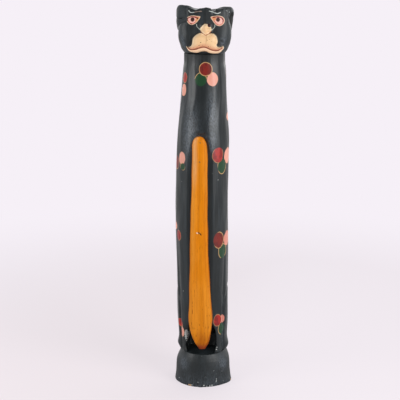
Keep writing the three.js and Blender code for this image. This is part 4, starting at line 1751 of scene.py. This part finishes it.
@dataclass
class Ear:
    """Thick wedge of an ear that slopes down to the crown, with a hollow that faces forwards and out."""

    side: Side
    head: Head
    outer: float = 71.5
    inner: float = 14.0
    foot: float = 937.0
    tip: float = 1000.5
    front: float = -60.0
    back: float = 14.0
    slope_end: float = 48.0
    squareness: float = 9.0
    inner_bend: float = 5.0
    root_bend: float = 9.0
    tip_bend: float = 5.0
    tip_fall: float = 5.0
    hollow_aside: float = 64.5
    hollow_half_width: float = 9.5
    hollow_rise: float = 967.0
    hollow_half_height: float = 22.0
    shade_aside: float = 65.0
    shade_half_width: float = 10.5
    shade_raggedness: float = 0.35
    wear_radius: float = 62.0

    def carve(self, block: Block, cut: EarCut) -> None:
        """Pull a ball into the ear and scoop its hollow.

        Args:
            block: The ball.
            cut: What is this ear's own.
        """
        ball = block.points
        size = (np.abs(ball) ** self.squareness).sum(axis=1) ** (1 / self.squareness)
        low = np.array([self.inner, self.front, self.foot])
        high = np.array([self.outer, self.back, self.tip])
        x, y, z = (ball / size[:, None] * (high - low) / 2 + (high + low) / 2).T
        share = (z - self.foot) / (self.tip - self.foot)
        top = cut.crown + (self.tip - cut.crown) * ramp(x, cut.slope_start, self.slope_end)
        rise = self.foot + share * (top - self.foot)
        drop = sum(depth * ramp(x, start, end) for depth, start, end in cut.corner_drops)
        rise -= drop * ramp(share, 0.75, 1)
        across = x + cut.wider * ramp(x, 60, 70) - cut.taper * (1 - ramp(rise, self.foot, self.foot + 30))
        sweep = np.clip(x / (self.outer + 1), 0, 1) ** cut.sharp
        bend = -self.front * (1 - (1 - sweep) ** cut.soft)
        upper = ramp(share, 0.5, 1)
        bend += self.inner_bend * (1 - ramp(x, 40, 50)) + self.root_bend * (1 - ramp(rise, 940, 966))
        bend += self.tip_bend * upper
        forward = y + bend * ramp(-y, 0, 40)
        rise -= self.tip_fall * ramp(forward, -45, 10) * upper
        off = (across - self.hollow_aside) / self.hollow_half_width
        hollow = np.hypot(off, (rise - self.hollow_rise) / self.hollow_half_height)
        scoop = 1 - ramp(hollow, 0.5, 1.0) if self.side is Side.LEFT else bell(hollow, 0.9)
        dish = cut.hollow_depth * scoop * ramp(-forward, -4, 8)
        crease = cut.crease * bell(rise - self.hollow_rise - 1, 2.5) * ramp(across, 50, 56)
        aside = self.side.value * (across - dish * 0.15 - crease * 0.2)
        block.points = np.column_stack([aside, forward + dish + crease, rise])

    def build(self, finish: DarkPaint) -> None:
        """Carve and paint the ear.

        Args:
            finish: Its paint.
        """
        way = self.side.value
        cut = EAR_CUTS[self.side]
        block = Block.ball(f"carved_ear_{self.side.word}", segments=96, rings=72)
        self.carve(block, cut)
        if self.side is Side.RIGHT:
            block.piece.data.flip_normals()
        block.even_out(grain=1.2, turns=3)
        block.roughen(depth=0.5, grain=(16, 16, 16), seed=6.0 + way)
        x, y, z = block.points.T
        # Painted shade: the ear's hollow is darkened, with a ragged edge.
        off = (way * x - self.shade_aside) / self.shade_half_width
        hollow = np.hypot(off, (z - self.hollow_rise) / self.hollow_half_height)
        hollow += self.shade_raggedness * wander(block.points, (3.5, 3.5, 3.5), 2.0)
        block.mark("recess", cut.recess * (1 - ramp(hollow, 0.75, 1.05)) * (y < 4))
        cut.wear.mark(block, self.wear_radius)
        block.points = self.head.settle(block.points)
        material = finish.make(f"painted_ear_{self.side.word}", chips=0.1, dull=cut.dull)
        block.finish(material, Slot.DARK_PAINT, [f"ear_{self.side.word}"])


@dataclass
class Tail:
    """Tail that climbs the back in a slow curve."""

    body: Log
    foot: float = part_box("tail")[0].z / MM
    top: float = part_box("tail")[1].z / MM
    width: float = 26.0
    thickness: float = 15.0
    sway: float = 14.0
    bends: float = 2.1
    sunk: float = 2.0
    bedded: float = 8.0
    root_size: float = 1.08
    taper: float = 0.25
    root_round: float = 0.05
    tip_round: float = 0.08
    wear: Wear = Wear(scuffs=((180, 250, 8, 60),))
    wear_radius: float = 70.0

    def middle(self, share: np.ndarray) -> np.ndarray:
        """Place the tail's middle line.

        Args:
            share: How far up the tail, 0 to 1.

        Returns:
            Places on the line.
        """
        height = self.foot + (self.top - self.foot) * share
        aside = curve_through(self.body.aside, height) + self.sway * np.sin(share * math.pi * self.bends)
        back = curve_through(self.body.half_widths, height) * self.body.depth_share - self.sunk
        return np.column_stack([aside, back, height])

    def build(self, finish: DarkPaint) -> None:
        """Carve and paint the tail.

        Args:
            finish: Its paint.
        """
        block = Block.ball("carved_tail", segments=48, rings=170)
        ball = block.points
        angle = np.arctan2(ball[:, 1], ball[:, 0])
        share = round_ball(ball)[1]
        centre = self.middle(share)
        along = self.middle(share + 0.01) - self.middle(share - 0.01)
        along /= np.linalg.norm(along, axis=1)[:, None]
        size = (self.root_size - self.taper * share) * round_over(share, self.root_round)
        size *= round_over(1 - share, self.tip_round)
        across = self.width / 2 * size * np.cos(angle)
        outwards = np.where(np.sin(angle) > 0, self.thickness, self.bedded) * size * np.sin(angle)
        block.points = centre + np.column_stack([along[:, 2] * across, outwards, -along[:, 0] * across])
        block.even_out(grain=1.8, turns=3)
        block.roughen(depth=0.5, grain=(14, 14, 40), seed=3.9)
        self.wear.mark(block, self.wear_radius)
        block.finish(finish.make("painted_tail", chips=0.7), Slot.DARK_PAINT, ["tail"])


@dataclass
class InnerDowels:
    """Dowels and pins that join the carvings. They stay as the frame has them."""

    nodes: tuple[str, ...] = (
        "neck_dowel",
        "plinth_dowel_left",
        "plinth_dowel_right",
        "ear_dowel_left",
        "ear_dowel_right",
        "tail_pin_1",
        "tail_pin_2",
        "tail_pin_3",
    )

    def dress(self, material: Material) -> None:
        """Give each dowel its wood.

        Args:
            material: The bare wood.
        """
        for name in self.nodes:
            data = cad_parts[name].data
            data.materials.clear()
            data.materials.append(material)
        log.info("dowels and pins: %d", len(self.nodes))


@dataclass
class Studio:
    """Pale seamless floor, two soft boxes and the camera. Its places and sizes are in metres."""

    distance: float = 2.30
    height: float = 1.04
    azimuth: float = 5.0
    pitch: float = 13.233
    yaw: float = 0.196
    lens: float = 80.67
    sensor: float = 36.0
    floor_reach: float = 14.0
    backdrop: Colour = paint(246, 240, 247)
    floor_seen: Colour = paint(218, 206, 207)
    bounce_front: Colour = paint(170, 168, 169)
    bounce_back: Colour = paint(236, 234, 235)
    box_size: tuple[float, float] = (1.15, 1.6)
    box_distance: float = 1.9
    box_middle: float = 1.12
    box_aim: float = 0.45
    left_azimuth: float = -57.0
    left_power: float = 22.5
    right_azimuth: float = 55.0
    right_power: float = 31.0
    floor_glow: float = 0.6
    far_glow: float = 0.4
    right_glow: float = 0.2
    room_front: float = 0.22
    room_back: float = 2.0

    def camera(self) -> None:
        """Stand the camera where the photograph was taken from."""
        angle = math.radians(self.azimuth)
        data = bpy.data.cameras.new("camera")
        data.lens = self.lens
        data.sensor_width = self.sensor
        camera = bpy.data.objects.new("camera", data)
        camera.location = (self.distance * math.sin(angle), -self.distance * math.cos(angle), self.height)
        camera.rotation_euler = (math.radians(90 - self.pitch), 0, angle + math.radians(self.yaw))
        bpy.context.scene.collection.objects.link(camera)
        bpy.context.scene.camera = camera

    def soft_box(self, name: str, azimuth: float, power: float) -> None:
        """Hang a soft box that faces the figure.

        Args:
            name: Name of the lamp.
            azimuth: Its direction from the figure's front, positive to the picture's right.
            power: Its power in watts.
        """
        angle = math.radians(azimuth)
        data = bpy.data.lights.new(name, "AREA")
        data.shape = "RECTANGLE"
        data.size, data.size_y = self.box_size
        data.energy = power
        lamp = bpy.data.objects.new(name, data)
        lamp.location = Vector((math.sin(angle), -math.cos(angle), 0)) * self.box_distance
        lamp.location.z = self.box_middle
        aim = Vector((0, 0, self.box_aim)) - lamp.location
        lamp.rotation_euler = aim.to_track_quat("-Z", "Y").to_euler()
        lamp.visible_camera = False
        bpy.context.scene.collection.objects.link(lamp)

    def seamless(self) -> None:
        """Lay the floor. The camera sees it pale, with the figure's soft shadow, painted paler to the right
        and evenly lit far away.
        """
        bpy.ops.object.select_all(action="DESELECT")
        bpy.ops.mesh.primitive_circle_add(vertices=96, radius=self.floor_reach, fill_type="NGON")
        floor = bpy.context.object
        floor.name = "studio_floor"
        sheet = MaterialSheet("studio_floor")
        away = sheet.node("VectorMath", {0: sheet.place}, operation="LENGTH").outputs["Value"]
        seen = sheet.node("BsdfDiffuse", {"Color": self.floor_seen})
        glow = sheet.node("Emission", {"Color": self.backdrop, "Strength": 1.0})
        split = sheet.node("SeparateXYZ", {0: sheet.place}).outputs
        # Painted light: the floor that the camera sees is paler towards the right.
        right = sheet.times(sheet.step(split["X"], -0.25, 0.3), self.right_glow)
        far = sheet.times(sheet.step(away, 0.35, 2.0), self.far_glow)
        share = sheet.plus(sheet.maths("MAXIMUM", far, right), self.floor_glow)
        pale = sheet.node("MixShader", {0: share, 1: seen.outputs[0], 2: glow.outputs[0]})
        bounce = sheet.blend(sheet.step(split["Y"], -0.1, 0.7), self.bounce_front, self.bounce_back)
        lit = sheet.node("BsdfDiffuse", {"Color": bounce})
        path = sheet.node("LightPath").outputs["Is Camera Ray"]
        mixed = sheet.node("MixShader", {0: path, 1: lit.outputs[0], 2: pale.outputs[0]})
        sheet.node("OutputMaterial", {"Surface": mixed.outputs[0]})
        floor.data.materials.append(sheet.material)

    def world(self) -> None:
        """Fill the room with plain light, dim in front of the figure and bright behind it."""
        world = bpy.data.worlds.new("studio")
        world.use_nodes = True
        sheet = NodeSheet(world.node_tree)
        towards = sheet.node("TexCoord").outputs["Generated"]
        back = sheet.node("SeparateXYZ", {0: towards}).outputs["Y"]
        brighter = sheet.times(sheet.step(back, 0.0, 0.85), self.room_back - self.room_front)
        strength = sheet.plus(brighter, self.room_front)
        soft = sheet.node("Background", {"Color": (1.0, 1.0, 1.0), "Strength": strength})
        seen = sheet.node("Background", {"Color": self.backdrop, "Strength": 1.0})
        path = sheet.node("LightPath").outputs["Is Camera Ray"]
        mixed = sheet.node("MixShader", {0: path, 1: soft.outputs[0], 2: seen.outputs[0]})
        sheet.node("OutputWorld", {"Surface": mixed.outputs[0]})
        bpy.context.scene.world = world

    def build(self) -> None:
        """Set up the studio."""
        self.camera()
        self.soft_box("left_soft_box", self.left_azimuth, self.left_power)
        self.soft_box("right_soft_box", self.right_azimuth, self.right_power)
        self.seamless()
        self.world()
        bpy.context.scene.view_settings.view_transform = "Standard"
        log.info("studio ready")


def main() -> None:
    """Build the studio and every piece of the cat in order."""
    Studio().build()
    effects = Effects()
    dark = DarkPaint(effects)
    Plinth().build(dark)
    body = Log()
    body.build(dark)
    Strip().build(OchreStain(effects))
    Nails().build(StainedSteel().make("stained_steel"))
    head = Head()
    head.build(dark)
    for side in Side:
        Ear(side, head).build(dark)
    Tail(body).build(dark)
    InnerDowels().dress(BareWood(effects).make(Slot.BARE_WOOD.value))


if __name__ == "__main__":
    main()
